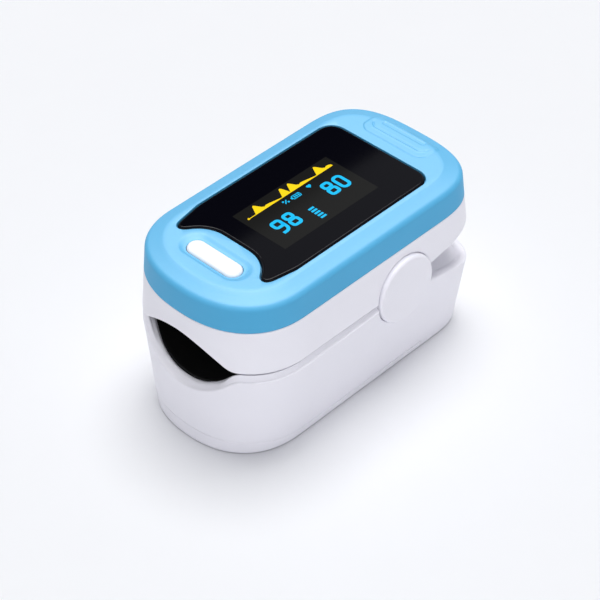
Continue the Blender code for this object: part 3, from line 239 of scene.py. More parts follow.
@dataclass(frozen=True)
class Metal:
    """A drawn or plated metal: streaks along one axis."""

    name: str
    colour: Colour
    roughness: float
    stretch: Point = (1.0, 0.05, 1.0)
    streak_scale: float = 3000.0
    tones: Flat = (-0.12, 0.08)
    polish: Flat = (0.75, 1.3)
    grain: float = 0.08
    depth: float = 0.02 * MM

    def build(self) -> bpy.types.Material:
        """Makes the material.

        Returns:
            The material.
        """
        nodes = NodeTree(self.name)
        streaks = nodes.noise(self.streak_scale, BROAD_DETAIL, self.stretch)
        tones = nodes.between(streaks, *(shade(self.colour, share) for share in self.tones))
        nodes.join(tones, nodes.shader.inputs["Base Color"])
        rough = nodes.ranged(streaks, *(self.roughness * share for share in self.polish))
        nodes.join(rough, nodes.shader.inputs["Roughness"])
        nodes.bump(streaks, self.grain, self.depth)
        nodes.fix(Metallic=1.0)
        return nodes.material


@dataclass(frozen=True)
class Lit:
    """A lit part of the screen: even light with the faint raster of the panel, under gloss."""

    name: str
    colour: Colour
    strength: float
    pitch: float = 0.17 * MM
    raster: float = 0.12
    unlit: Flat = (-0.8, -0.7)
    roughness: float = 0.06
    specular: float = 0.07

    def build(self) -> bpy.types.Material:
        """Makes the material.

        Returns:
            The material.
        """
        nodes = NodeTree(self.name)
        place = nodes.add("ShaderNodeTexCoord")
        rows = nodes.add("ShaderNodeTexWave", bands_direction="X", wave_profile="SIN")
        rows.inputs["Scale"].default_value = WAVE_TURN / self.pitch
        nodes.join(place.outputs["Object"], rows.inputs["Vector"])
        lit = (-self.raster, self.raster)
        glow = nodes.between(rows.outputs["Fac"], *(shade(self.colour, share) for share in lit))
        nodes.join(glow, nodes.shader.inputs["Emission Color"])
        base = nodes.between(rows.outputs["Fac"], *(shade(self.colour, share) for share in self.unlit))
        nodes.join(base, nodes.shader.inputs["Base Color"])
        nodes.fix(Emission_Strength=self.strength, Roughness=self.roughness)
        nodes.fix(Specular_IOR_Level=self.specular)
        return nodes.material


@dataclass(frozen=True)
class Striped:
    """A surface with bands across one axis, as a printed jacket, a board's tracks or a flat cable."""

    name: str
    ground: Colour
    band: Colour
    direction: str
    scale: float
    edge: float
    roughness: float
    blur: float = 0.08
    grain_scale: float = 2500.0
    spread: float = 0.15
    grain: float = 0.08
    depth: float = 0.02 * MM

    def build(self) -> bpy.types.Material:
        """Makes the material.

        Returns:
            The material.
        """
        nodes = NodeTree(self.name)
        place = nodes.add("ShaderNodeTexCoord")
        wave = nodes.add("ShaderNodeTexWave", bands_direction=self.direction, wave_profile="SIN")
        wave.inputs["Scale"].default_value = self.scale
        wave.inputs["Distortion"].default_value = 0.0
        nodes.join(place.outputs["Object"], wave.inputs["Vector"])
        ramp = nodes.add("ShaderNodeValToRGB")
        ramp.color_ramp.elements[0].position = self.edge
        ramp.color_ramp.elements[1].position = self.edge + self.blur
        nodes.join(wave.outputs["Fac"], ramp.inputs["Fac"])
        tones = nodes.between(ramp.outputs["Color"], self.ground, self.band)
        nodes.join(tones, nodes.shader.inputs["Base Color"])
        fine = nodes.noise(self.grain_scale, FINE_DETAIL)
        rough = nodes.ranged(fine, self.roughness * (1 - self.spread), self.roughness * (1 + self.spread))
        nodes.join(rough, nodes.shader.inputs["Roughness"])
        nodes.bump(fine, self.grain, self.depth)
        return nodes.material


@dataclass
class Palette:
    """The finishes, each made once, by the record's slot."""

    finishes: tuple[Moulded | Metal | Lit | Striped, ...] = (
        Moulded("white_case", (0.85, 0.84, 0.905), 0.46),
        Moulded("blue_cover", (0.062, 0.385, 0.665), 0.58, tone=0.03),
        Moulded("white_button", (0.93, 0.93, 0.95), 0.4, tone=0.01),
        Moulded("black_window", (0.002, 0.002, 0.004), 0.05, grain=0.0, specular=0.07),
        Moulded("screen_glass", (0.012, 0.012, 0.013), 0.16, specular=0.25),
        Moulded("black_silicone", (0.003, 0.003, 0.0032), 0.6, grain=0.2, specular=0.12),
        Moulded("black_frame", (0.006, 0.006, 0.0065), 0.6, grain=0.2, specular=0.2),
        Moulded("black_plastic", (0.02, 0.02, 0.02), 0.55),
        Moulded("clear_optic", (0.32, 0.04, 0.04), 0.14, tone=0.1, coat=0.6),
        Metal("nickel", (0.66, 0.64, 0.6), 0.3),
        Metal("spring_steel", (0.55, 0.55, 0.56), 0.28, (0.05, 1.0, 1.0)),
        Striped("board", (0.012, 0.12, 0.05), (0.03, 0.2, 0.09), "X", 260.0, 0.72, 0.42),
        Striped("cable_film", (0.012, 0.011, 0.01), (0.05, 0.035, 0.02), "X", 500.0, 0.5, 0.4),
        Striped("cell_jacket", (0.07, 0.08, 0.1), (0.6, 0.45, 0.12), "Y", 7.0, 0.86, 0.34),
        Lit("lit_cyan", (0.012, 0.47, 0.82), 0.95),
        Lit("lit_yellow", (0.86, 0.6, 0.012), 0.97),
        Lit("lit_ground", (0.0095, 0.0095, 0.0092), 1.0, raster=0.06),
    )
    made: dict[str, bpy.types.Material] = field(default_factory=dict)

    def __getitem__(self, slot: str) -> bpy.types.Material:
        """The material of a slot.

        Args:
            slot: The slot's name.

        Returns:
            The material.
        """
        if not self.made:
            self.made = {finish.name: finish.build() for finish in self.finishes}
        return self.made[slot]


class Skin:
    """A mesh grown ring by ring, in millimetres, with bmesh operators."""

    def __init__(self) -> None:
        """Starts an empty mesh."""
        self.bm = bmesh.new()

    def ring(self, points: Sequence[Sequence[float]]) -> Loop:
        """Starts a closed ring.

        Args:
            points: Its points, in order.

        Returns:
            Its vertices, in the same order.
        """
        made = bmesh.ops.create_circle(self.bm, segments=len(points), radius=1.0)["verts"]
        loop = [made[0]]
        step = made[0].link_edges[0]
        while len(loop) < len(made):
            loop.append(step.other_vert(loop[-1]))
            step = next(e for e in loop[-1].link_edges if e is not step)
        for vert, point in zip(loop, points):
            vert.co = point
        return loop

    def edges(self, loop: Loop) -> list[bmesh.types.BMEdge]:
        """The edges of a closed ring."""
        return [self.bm.edges.get((a, b)) for a, b in zip(loop, [*loop[1:], loop[0]])]

    def grow(self, loop: Loop, points: Sequence[Sequence[float]]) -> Loop:
        """Extrudes a ring to new places.

        Args:
            loop: The ring's vertices.
            points: Where the new ring lies.

        Returns:
            The new ring's vertices.
        """
        made = bmesh.ops.extrude_edge_only(self.bm, edges=self.edges(loop))["geom"]
        new = {item for item in made if isinstance(item, bmesh.types.BMVert)}
        grown = [next(o for e in v.link_edges if (o := e.other_vert(v)) in new) for v in loop]
        for vert, point in zip(grown, points):
            vert.co = point
        return grown

    def stack(self, rings: Sequence[Sequence[Sequence[float]]]) -> tuple[Loop, Loop]:
        """Grows a wall through rings.

        Args:
            rings: The rings' points, as many in each.

        Returns:
            The first and the last ring's vertices.
        """
        first = last = self.ring(rings[0])
        for points in rings[1:]:
            last = self.grow(last, points)
        return first, last

    def bridge(self, a: Loop, b: Loop) -> None:
        """Joins two rings of as many points."""
        bmesh.ops.bridge_loops(self.bm, edges=self.edges(a) + self.edges(b))

    def fill(self, *loops: Loop) -> None:
        """Fills the level area between loops, the later ones being holes in the first."""
        edges = [edge for loop in loops for edge in self.edges(loop)]
        bmesh.ops.triangle_fill(self.bm, use_beauty=True, edges=edges, normal=(0, 0, 1))

    def cylinder(self, radius: float, start: Point, end: Point, steps: int) -> None:
        """Adds a closed cylinder from one point to another.

        Args:
            radius: Its radius.
            start: The middle of one end.
            end: The middle of the other end.
            steps: How many sides it has.
        """
        a, b = Vector(start), Vector(end)
        turn = Vector((0, 0, 1)).rotation_difference(b - a).to_matrix().to_4x4()
        bmesh.ops.create_cone(
            self.bm, cap_ends=True, segments=steps, radius1=radius, radius2=radius,
            depth=(b - a).length, matrix=Matrix.Translation((a + b) / 2) @ turn,
        )

    def slice(self, axis: int, places: Iterable[float]) -> None:
        """Cuts the faces along planes across an axis, so that they can bend there.

        Args:
            axis: 0, 1 or 2 for X, Y or Z.
            places: Where the planes stand on the axis.
        """
        normal = Vector((0, 0, 0))
        normal[axis] = 1.0
        for place in places:
            geometry = self.bm.verts[:] + self.bm.edges[:] + self.bm.faces[:]
            bmesh.ops.bisect_plane(
                self.bm, geom=geometry, dist=ON_PLANE, plane_co=normal * place, plane_no=normal
            )

    def publish(self, name: str, slot: str, body: Body, *nodes: str) -> bpy.types.Object:
        """Makes the mesh an object that rides on a body.

        Args:
            name: The piece's name.
            slot: The record's material slot.
            body: The body it moves with.
            nodes: The solids that it stands for.

        Returns:
            The object.
        """
        bmesh.ops.remove_doubles(self.bm, verts=self.bm.verts, dist=WELD)
        bmesh.ops.recalc_face_normals(self.bm, faces=self.bm.faces)
        bmesh.ops.scale(self.bm, vec=(MM, MM, MM), verts=self.bm.verts)
        mesh = bpy.data.meshes.new(name)
        self.bm.to_mesh(mesh)
        self.bm.free()
        mesh.shade_smooth()
        mesh.set_sharp_from_angle(angle=SHARP_ANGLE)
        piece = bpy.data.objects.new(name, mesh)
        bpy.context.scene.collection.objects.link(piece)
        mesh.materials.append(PALETTE[slot])
        even = piece.modifiers.new("even_normals", "WEIGHTED_NORMAL")
        even.keep_sharp = True
        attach(piece, body.value)
        if nodes:
            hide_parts(*nodes)
        log.info("%s: %d faces on %s", name, len(mesh.polygons), body.value)
        return piece


PALETTE = Palette()
SLOTS = {material["slot"] for material in frame["record"]["materials"]}


def blend(low: float, high: float, value: float) -> float:
    """A smooth step from 0 at low to 1 at high."""
    share = min(1.0, max(0.0, (value - low) / (high - low)))
    return share * share * (3 - 2 * share)


def soft_max(a: float, b: float, width: float) -> float:
    """The greater of two values, with the corner rounded over a width."""
    share = min(1.0, max(0.0, 0.5 + 0.5 * (a - b) / width))
    return b + (a - b) * share + width * share * (1 - share)


def arc(centre: Flat, radius: float, start: float, end: float, steps: int) -> list[Flat]:
    """Points of an arc between two angles in degrees."""
    angles = [math.radians(start + (end - start) * i / steps) for i in range(steps + 1)]
    return [(centre[0] + radius * math.cos(a), centre[1] + radius * math.sin(a)) for a in angles]


def circle(radius: float, steps: int) -> list[Flat]:
    """A circle's points about the origin."""
    return arc((0, 0), radius, 0, 360 * (steps - 1) / steps, steps - 1)


def pill(half_length: float, radius: float, middle: Flat = (0.0, 0.0), steps: int = 16) -> list[Flat]:
    """A pill outline, long in X.

    Args:
        half_length: Half its length, round ends counted.
        radius: The ends' radius.
        middle: The point that it lies about.
        steps: How many edges each end has.

    Returns:
        The outline's points, counter-clockwise.
    """
    straight = half_length - radius
    right = arc((straight, 0), radius, -90, 90, steps)
    return [(x + middle[0], y + middle[1]) for x, y in right + [(-a, -b) for a, b in right]]


def even_spaced(outline: Sequence[Flat], spacing: float) -> list[Flat]:
    """A closed outline drawn again with even spaces between its points.

    Args:
        outline: The outline.
        spacing: About how far apart the points are.

    Returns:
        The new outline.
    """
    spots = [Vector(point) for point in [*outline, outline[0]]]
    lengths = [(b - a).length for a, b in zip(spots, spots[1:])]
    count = round(sum(lengths) / spacing)
    step = sum(lengths) / count
    made, index, run = [], 0, 0.0
    for i in range(count):
        while run + lengths[index] < i * step:
            run += lengths[index]
            index += 1
        made.append(tuple(spots[index].lerp(spots[index + 1], (i * step - run) / lengths[index])))
    return made


def softened(outline: Sequence[Flat], rounds: int) -> list[Flat]:
    """A closed outline with its corners eased by averaging.

    Args:
        outline: The outline.
        rounds: How often it is averaged.

    Returns:
        The eased outline, with as many points.
    """
    made = list(outline)
    for _ in range(rounds):
        made = [
            ((a[0] + 2 * b[0] + c[0]) / 4, (a[1] + 2 * b[1] + c[1]) / 4)
            for a, b, c in zip([made[-1], *made[:-1]], made, [*made[1:], made[0]])
        ]
    return made


def shrunk(outline: Sequence[Flat], inset: float) -> list[Flat]:
    """A closed counter-clockwise outline moved inwards.

    Args:
        outline: The outline.
        inset: How far it moves in, or out where it is negative.

    Returns:
        The moved outline, with as many points.
    """
    made = []
    for a, b, c in zip([outline[-1], *outline[:-1]], outline, [*outline[1:], outline[0]]):
        along = Vector((c[0] - a[0], c[1] - a[1])).normalized()
        made.append((b[0] - along.y * inset, b[1] + along.x * inset))
    return made


def at(outline: Sequence[Flat], z: float) -> list[Point]:
    """An outline at a height."""
    return [(x, y, z) for x, y in outline]


@dataclass(frozen=True)
class CasePlan:
    """The case's outline: straight sides between two superellipse ends, in millimetres."""

    half_width: float = 16.0
    front: float = 29.1
    rear: float = 29.4
    nose: float = 13.5
    nose_power: float = 2.3
    tail: float = 13.0
    tail_power: float = 3.0
    end_steps: int = 72

    def stations(self, sides: Sequence[float]) -> list[Station]:
        """The places round the outline, counter-clockwise from the right rear.

        Args:
            sides: Places along Y at which the straight sides have points, rising.

        Returns:
            Each place's zone with its angle or its Y.
        """
        angles = [math.pi * i / self.end_steps for i in range(self.end_steps + 1)]
        made = [(Zone.REAR, a) for a in angles] + [(Zone.LEFT, y) for y in reversed(sides)]
        return made + [(Zone.FRONT, a) for a in angles] + [(Zone.RIGHT, y) for y in sides]

    def spot(self, station: Station, size: Reach, inset: float) -> Flat:
        """Where a place lies.

        Args:
            station: The place.
            size: Half width, front and rear reach there.
            inset: How far the outline is drawn in.

        Returns:
            Its X and Y.
        """
        zone, value = station
        half, front, rear = (part - inset for part in size)
        if zone is Zone.LEFT:
            return -half, value
        if zone is Zone.RIGHT:
            return half, value
        behind = zone is Zone.REAR
        length = (self.tail if behind else self.nose) - inset
        power = self.tail_power if behind else self.nose_power
        c, s = math.cos(value), math.sin(value)
        reach = (abs(c / half) ** power + abs(s / length) ** power) ** (-1 / power)
        if behind:
            return reach * c, rear - length + reach * s
        return -reach * c, length - front - reach * s


PLAN = CasePlan()
SIDE_PLACES = tuple(-12.0 + 4.0 * i for i in range(7))


@dataclass
class Shell:
    """A half of the case: its outline at any height, and the walls that end on an edge line."""

    plan: CasePlan = PLAN
    wall: float = 1.6
    sink: float = 0.06
    side_start: float = -15.0
    side_steps: int = 12
    cross_steps: int = 8

    def size(self, z: float) -> Reach:
        """Half width, front and rear reach at a height."""
        return self.plan.half_width, self.plan.front, self.plan.rear

    def point(self, station: Station, z: float, inset: float = 0.0) -> Vector:
        """A point of the case's skin at a height, drawn in by an inset."""
        return Vector((*self.plan.spot(station, self.size(z), inset), z))

    def ring(self, stations: Sequence[Station], z: float, inset: float) -> list[Vector]:
        """A level ring."""
        return [self.point(station, z, inset) for station in stations]

    def outward(self, ring: Sequence[Vector]) -> list[Vector]:
        """The level directions that point out of the case.

        Args:
            ring: A closed ring of the case.

        Returns:
            One direction for each of its points.
        """
        made = []
        for a, b in zip([ring[-1], *ring[:-1]], [*ring[1:], ring[0]]):
            along = Vector((b.x - a.x, b.y - a.y, 0)).normalized()
            made.append(Vector((along.y, -along.x, 0)))
        return made

    def front_sides(self, run: float) -> list[float]:
        """The Y of points along a straight side, from the nose backwards over a run."""
        return [self.side_start + run * i / self.side_steps for i in range(self.side_steps + 1)]

    def rounded_edge(
        self, line: Sequence[Vector], out: Sequence[Vector], radius: float, inward: int, steps: int = 5
    ) -> list[list[Vector]]:
        """Rings that round the case's skin over an edge line.

        Args:
            line: The edge line.
            out: The directions out of the case along it.
            radius: The rounding's radius.
            inward: 1 where the wall rises from the line, -1 where it falls.
            steps: How many rings there are, less one.

        Returns:
            The rings, from the skin to the edge's inner end.
        """
        into = []
        for a, b, normal in zip([line[-1], *line[:-1]], [*line[1:], line[0]], out):
            into.append(normal.cross((b - a).normalized()).normalized() * inward)
        rings = []
        for i in range(steps + 1):
            turn = math.pi / 2 * i / steps
            up, back = radius * (1 - math.sin(turn)), radius * (1 - math.cos(turn))
            rings.append([p + m * up - n * back for p, m, n in zip(line, into, out)])
        return rings

    def rear_loop(self, inset: float, start: float, level: float) -> list[Flat]:
        """A loop round the rear of the case, closed by a straight line across it.

        Args:
            inset: How far it lies in from the skin.
            start: The Y of the straight line.
            level: The height whose outline it follows.

        Returns:
            The loop's points.
        """
        size = self.size(level)
        half = size[0] - inset
        loop = [(half, start)]
        angles = [math.pi * i / self.plan.end_steps for i in range(self.plan.end_steps + 1)]
        loop += [self.plan.spot((Zone.REAR, a), size, inset) for a in angles]
        loop += [(-half, start)]
        return loop + [(half * (2 * i / self.cross_steps - 1), start) for i in range(1, self.cross_steps)]


def walked(line: Sequence[Flat], place: float) -> float:
    """The height of a broken line at a place, carried on beyond its ends.

    Args:
        line: The line's places and heights, in order.
        place: The place.

    Returns:
        The height there.
    """
    for (a, low), (b, high) in zip(line, line[1:]):
        if place <= b or (b, high) == line[-1]:
            return low + (high - low) * (place - a) / (b - a)
    return line[-1][1]


@dataclass
class Hinge:
    """The round caps over the hinge, in millimetres."""

    y: float = 7.7
    z: float = 19.2
    radius: float = 6.5
    notch: float = 6.6
    face: float = 17.1
    thickness: float = 1.7
    edge: float = 0.55
    edge_ease: float = 0.2
    edge_turn: float = 80.0
    edge_steps: int = 6
    dome: float = 0.12
    dome_radii: tuple[float, ...] = (0.0, 2.0, 4.0)
    notch_steps: int = 34
    steps: int = 72

    def notch_sides(self, start: float, end: float) -> list[float]:
        """The Y of points round the notch, between two angles in degrees."""
        return [y for y, _ in arc((self.y, self.z), self.notch, start, end, self.notch_steps)]

    def notch_turn(self, z: float) -> float:
        """The angle over the level at which the notch reaches a height, in degrees."""
        return math.degrees(math.asin((z - self.z) / self.notch))

    def notch_height(self, y: float, sign: int) -> float:
        """The notch's height at a Y, above its middle or below it."""
        return self.z + sign * math.sqrt(max(0.0, self.notch**2 - (y - self.y) ** 2))

    def build(self) -> None:
        """Makes both caps: a shallow dome with a rounded edge, spun round the hinge line."""
        for side, name in ((-1, "left"), (1, "right")):
            skin = Skin()
            low = self.edge * self.edge_ease
            crowns = [self.dome * (1 - (r / self.radius) ** 2) for r in self.dome_radii]
            profile = [(r, self.face + crown - low) for r, crown in zip(self.dome_radii, crowns)]
            centre = (self.radius - self.edge, self.face - self.edge)
            profile += arc(centre, self.edge, self.edge_turn, 0, self.edge_steps)
            profile += [(self.radius, self.face - self.thickness), (0.0, self.face - self.thickness)]
            points = [skin.bm.verts.new((side * x, self.y, self.z + r)) for r, x in profile]
            line = [skin.bm.edges.new(pair) for pair in zip(points, points[1:])]
            bmesh.ops.spin(
                skin.bm, geom=points + line, cent=(0, self.y, self.z), axis=(1, 0, 0),
                angle=math.tau, steps=self.steps, use_merge=True,
            )
            skin.publish(f"cap_{name}", "white_case", Body.LOWER, f"hinge_cap_{name}")


HINGE = Hinge()


@dataclass
class UpperShell(Shell):
    """The white upper half, arched over the finger opening, in millimetres.

    The grip is a line of places along Y with their heights.
    """

    wall: float = 1.5
    edge_z: float = 19.5
    top_z: float = 27.73
    cover_z: float = 27.8
    flare: float = 0.6
    arch_half: float = 10.7
    arch_top: float = 23.8
    arch_foot: float = 19.0
    arch_ease: float = 0.9
    edge_radius: float = 0.3
    seam_edge: float = 0.06
    grip: tuple[Flat, ...] = ((9.5, 19.9), (14.5, 20.7), (21.0, 21.6), (29.4, 22.9))
    grip_start: float = 20.67
    grip_y: float = 14.9
    notch_share: float = 0.97
    side_run: float = 15.8
    wall_steps: int = 6
    floor: float = 1.3
    floor_tuck: float = 0.6
    floor_cuts: tuple[float, ...] = (16.5, 19.0, 21.0, 24.0, 27.0)
    deck_y: float = 14.6
    screw: Flat = (9.0, 22.5)
    well: float = 1.8
    well_steps: int = 36

    def size(self, z: float) -> Reach:
        """Half width, front and rear reach at a height."""
        grown = self.flare * (self.cover_z - z) / (self.cover_z - self.edge_z)
        return self.plan.half_width + grown, self.plan.front + grown, self.plan.rear + grown

    def edge_height(self, station: Station) -> float:
        """The height of the lower edge at a place.

        Args:
            station: The place.

        Returns:
            The arch's height in front, the notch's at the hinge and the grip's behind.
        """
        x, y = self.plan.spot(station, self.size(self.edge_z), 0.0)
        if station[0] is Zone.FRONT:
            arch = self.arch_foot + (self.arch_top - self.arch_foot) * (1 - (x / self.arch_half) ** 2)
            return soft_max(arch, self.edge_z, self.arch_ease)
        if y > HINGE.y + HINGE.notch * self.notch_share:
            return walked(self.grip, y)
        if station[0] is not Zone.REAR and HINGE.notch_height(y, 1) > self.edge_z:
            return HINGE.notch_height(y, 1)
        return self.edge_z

    def build(self) -> None:
        """Makes the walls with their rounded lower edge, and the floor of the rear grip."""
        start = 180 - HINGE.notch_turn(self.edge_z)
        end = HINGE.notch_turn(self.grip_start)
        sides = self.front_sides(self.side_run) + HINGE.notch_sides(start, end) + [self.grip_y]
        stations = self.plan.stations(sides)
        line = [self.point(s, self.edge_height(s)) for s in stations]
        out = self.outward(self.ring(stations, self.edge_z, 0.0))
        edge = self.rounded_edge(line, out, self.edge_radius, 1)
        top = self.ring(stations, self.top_z - self.seam_edge, 0.0)
        rings = [self.ring(stations, self.top_z, inset) for inset in (self.wall, self.seam_edge)]
        shares = [i / self.wall_steps for i in range(self.wall_steps)]
        rings += [[a.lerp(b, share) for a, b in zip(top, edge[0])] for share in shares]
        rings += edge
        rings += [[p - n * self.wall for p, n in zip(line, out)]]
        skin = Skin()
        first, last = skin.stack(rings)
        skin.bridge(last, first)
        self.add_floor(skin)
        skin.publish("upper_case", "white_case", Body.UPPER, "upper_shell")

    def add_floor(self, skin: Skin) -> None:
        """Adds the grip's floor with its two screw wells.

        Args:
            skin: The mesh that it goes into.
        """
        plate = Skin()
        under = at(self.rear_loop(self.wall * self.floor_tuck, self.deck_y, self.grip[-1][1]), 0.0)
        well = circle(self.well, self.well_steps)
        across, along = self.screw
        wells = [[(side * across + x, along + y, 0.0) for x, y in well] for side in (-1, 1)]
        low = [plate.ring(loop) for loop in (under, *wells)]
        plate.fill(*low)
        high = [plate.grow(loop, [v.co + Vector((0, 0, self.floor)) for v in loop]) for loop in low]
        plate.fill(*high)
        plate.slice(1, self.floor_cuts)
        for vert in plate.bm.verts:
            vert.co.z += walked(self.grip, vert.co.y) + self.sink
        merge(skin, plate)


def merge(skin: Skin, other: Skin) -> None:
    """Adds another mesh's shape to a mesh.

    Args:
        skin: The mesh that grows.
        other: The mesh that is added, and then freed.
    """
    bmesh.ops.recalc_face_normals(other.bm, faces=other.bm.faces)
    mesh = bpy.data.meshes.new("part")
    other.bm.to_mesh(mesh)
    other.bm.free()
    skin.bm.from_mesh(mesh)
    bpy.data.meshes.remove(mesh)


@dataclass
class LowerShell(Shell):
    """The white lower half, scooped at the finger opening and dished at the rear, in millimetres.

    The tray, the seam and the rim's fall are lines of places along Y with their heights. Each row of the
    dish holds an inset and a height. Each row of the lip holds an inset, a share of the ledge, a fall, the
    slot's depth and the swell at the scoop.
    """

    plan: CasePlan = CasePlan(rear=28.6, tail=11.0, tail_power=3.6)
    wall: float = 1.7
    rim_z: float = 18.1
    rim_flare: float = 0.7
    side_draft: float = 2.3
    front_draft: float = 0.45
    rear_draft: float = 1.3
    ledge: float = 0.6
    scoop_radius: float = 13.5
    scoop_floor: float = 12.4
    rim_fall: tuple[Flat, ...] = ((-29.0, 0.5), (1.0, -0.25))
    scoop_ease: float = 1.4
    edge_radius: float = 0.35
    rim_end: float = 1.0
    crest_end: float = 0.35
    crest_rise: float = 2.0
    mouth_rise: float = 1.5
    notch_end: float = 16.8
    side_run: float = 15.9
    side_end: float = 15.1
    wall_steps: int = 8
    tray: tuple[Flat, ...] = ((9.5, 17.7), (14.5, 16.7), (21.0, 15.4), (27.0, 14.3), (80.0, 14.1))
    tray_start: float = 14.05
    tray_cuts: tuple[float, ...] = (14.5, 16.5, 19.0, 21.0, 24.0)
    dish: tuple[Flat, ...] = (
        (1.4, -2.2), (1.4, -0.3), (1.6, -0.38), (1.9, -0.44), (2.4, -0.46), (3.4, -0.46),
    )
    deck_y: float = 12.8
    seam: tuple[Flat, ...] = ((-29.1, 2.8), (-16.0, 1.65), (14.3, 1.3))
    seam_gap: float = 0.12
    seam_edge: float = 0.06
    door_end: float = 14.3
    step_half: float = 0.01
    base_edge: float = 0.25
    edge_share: float = 0.3
    base: float = 1.0
    base_tuck: float = 0.9
    ear_radius: float = 6.1
    ear: Flat = (13.4, 15.0)
    ear_steps: int = 64
    slot: Flat = (11.5, 13.5)
    lip_pull: float = 0.05
    lip: tuple[tuple[float, float, float, float, float], ...] = (
        (0.78, 1.0, 0.0, 0.0, 0.36), (0.92, 1.0, 0.01, 0.0, 0.48), (1.02, 0.9, 0.02, 0.1, 0.57),
        (1.12, 0.5, 0.04, 0.6, 0.66), (1.45, 0.4, 0.12, 0.7, 0.88), (1.74, 0.3, 0.2, -1.25, 0.96),
        (1.82, 0.25, 0.28, -1.35, 0.98), (2.1, 0.2, 0.53, -1.6, 0.84), (2.16, 0.2, 0.75, 0.5, 0.42),
    )

    def size(self, z: float) -> Reach:
        """The case's reach at a height, which grows from the base to the rim.

        Args:
            z: The height.

        Returns:
            Half width, front and rear reach.
        """
        share = 1 - z / self.rim_z
        grown = self.rim_flare
        return (
            self.plan.half_width + grown - self.side_draft * share,
            self.plan.front + grown - self.front_draft * share,
            self.plan.rear + grown - self.rear_draft * share,
        )

    def edge_height(self, station: Station) -> float:
        """The height of the upper edge's outer line at a place.

        Args:
            station: The place.

        Returns:
            The scoop's height in front, the rim's or the notch's along the sides, and the tray's behind.
        """
        x, y = self.plan.spot(station, self.size(self.rim_z), 0.0)
        if station[0] is Zone.FRONT:
            drop = self.scoop_radius**2 - x * x
            scoop = self.scoop_floor + self.scoop_radius - math.sqrt(max(0.0, drop))
            return -soft_max(-scoop, -self.rim(y), self.scoop_ease)
        if station[0] is Zone.REAR:
            return walked(self.tray, y)
        under = HINGE.notch_height(y, -1)
        if y > HINGE.y and under > walked(self.tray, y) or y > self.tray_start:
            return walked(self.tray, y)
        return min(self.rim(y), under) if abs(y - HINGE.y) < HINGE.notch else self.rim(y)

    def rim(self, y: float) -> float:
        """The height of the straight rim's outer line, which falls a little towards the front."""
        return self.rim_z - walked(self.rim_fall, y)

    def crest(self, station: Station, height: float) -> float:
        """How fully the ledge inside the outer line stands at a place.

        Args:
            station: The place.
            height: The outer line's height there.

        Returns:
            A share from 0 to 1.
        """
        y = self.plan.spot(station, self.size(self.rim_z), 0.0)[1]
        if station[0] is Zone.REAR or y > HINGE.y - HINGE.notch + self.crest_end:
            return 0.0
        return blend(self.scoop_floor + self.crest_rise, self.rim(y), height)

    def mouth(self, station: Station, height: float) -> float:
        """How fully the lip is that of the finger's scoop at a place, from 0 to 1."""
        return blend(self.rim_z, self.scoop_floor + self.mouth_rise, height) * (station[0] is Zone.FRONT)

    def foot_height(self, station: Station) -> float:
        """The height of the lower edge at a place.

        Args:
            station: The place.

        Returns:
            The height over the door's seam, or of the base behind the door.
        """
        y = self.plan.spot(station, self.size(0.0), 0.0)[1]
        if y > self.door_end + self.seam_gap / 2:
            return 0.0
        return walked(self.seam, y) + self.seam_gap

    def build(self) -> None:
        """Makes the walls, the ledge, the rear tray, the rear floor and the hinge ears."""
        start = 180 - HINGE.notch_turn(self.rim(self.rim_end))
        end = 360 + HINGE.notch_turn(self.notch_end)
        behind = self.door_end + self.seam_gap / 2
        sides = self.front_sides(self.side_run) + HINGE.notch_sides(start, end)
        sides += [behind - self.step_half, behind + self.step_half, self.side_end]
        stations = self.plan.stations(sides)
        line = [self.point(s, self.edge_height(s)) for s in stations]
        out = self.outward(self.ring(stations, self.rim_z, 0.0))
        edge = self.rounded_edge(line, out, self.edge_radius, -1)
        rings = self.foot_rings(stations, edge[0]) + edge + self.lip_rings(stations, line, out)
        skin = Skin()
        first, last = skin.stack(rings)
        skin.bridge(last, first)
        self.add_tray(skin)
        self.add_base(skin)
        for side in (-1, 1):
            ends = [(side * x, HINGE.y, HINGE.z) for x in self.ear]
            skin.cylinder(self.ear_radius, *ends, self.ear_steps)
        skin.publish("lower_case", "white_case", Body.LOWER, "lower_shell")

    def foot_rings(self, stations: Sequence[Station], top: Sequence[Vector]) -> list[list[Vector]]:
        """The wall's rings from inside the foot up to the rim.

        Args:
            stations: The places round the case.
            top: The ring that the wall rises to.

        Returns:
            The rings, without the top one.
        """
        feet = [self.foot_height(s) for s in stations]
        eases = [self.seam_edge if z else self.base_edge for z in feet]
        places = list(zip(stations, feet, eases))
        rings = [[self.point(s, z, self.wall) for s, z, _ in places]]
        rings.append([self.point(s, z, ease) for s, z, ease in places])
        part = self.edge_share
        rings.append([self.point(s, z + part * ease, part * ease) for s, z, ease in places])
        low = [self.point(s, z + ease) for s, z, ease in places]
        shares = [i / self.wall_steps for i in range(self.wall_steps)]
        return rings + [[a.lerp(b, share) for a, b in zip(low, top)] for share in shares]

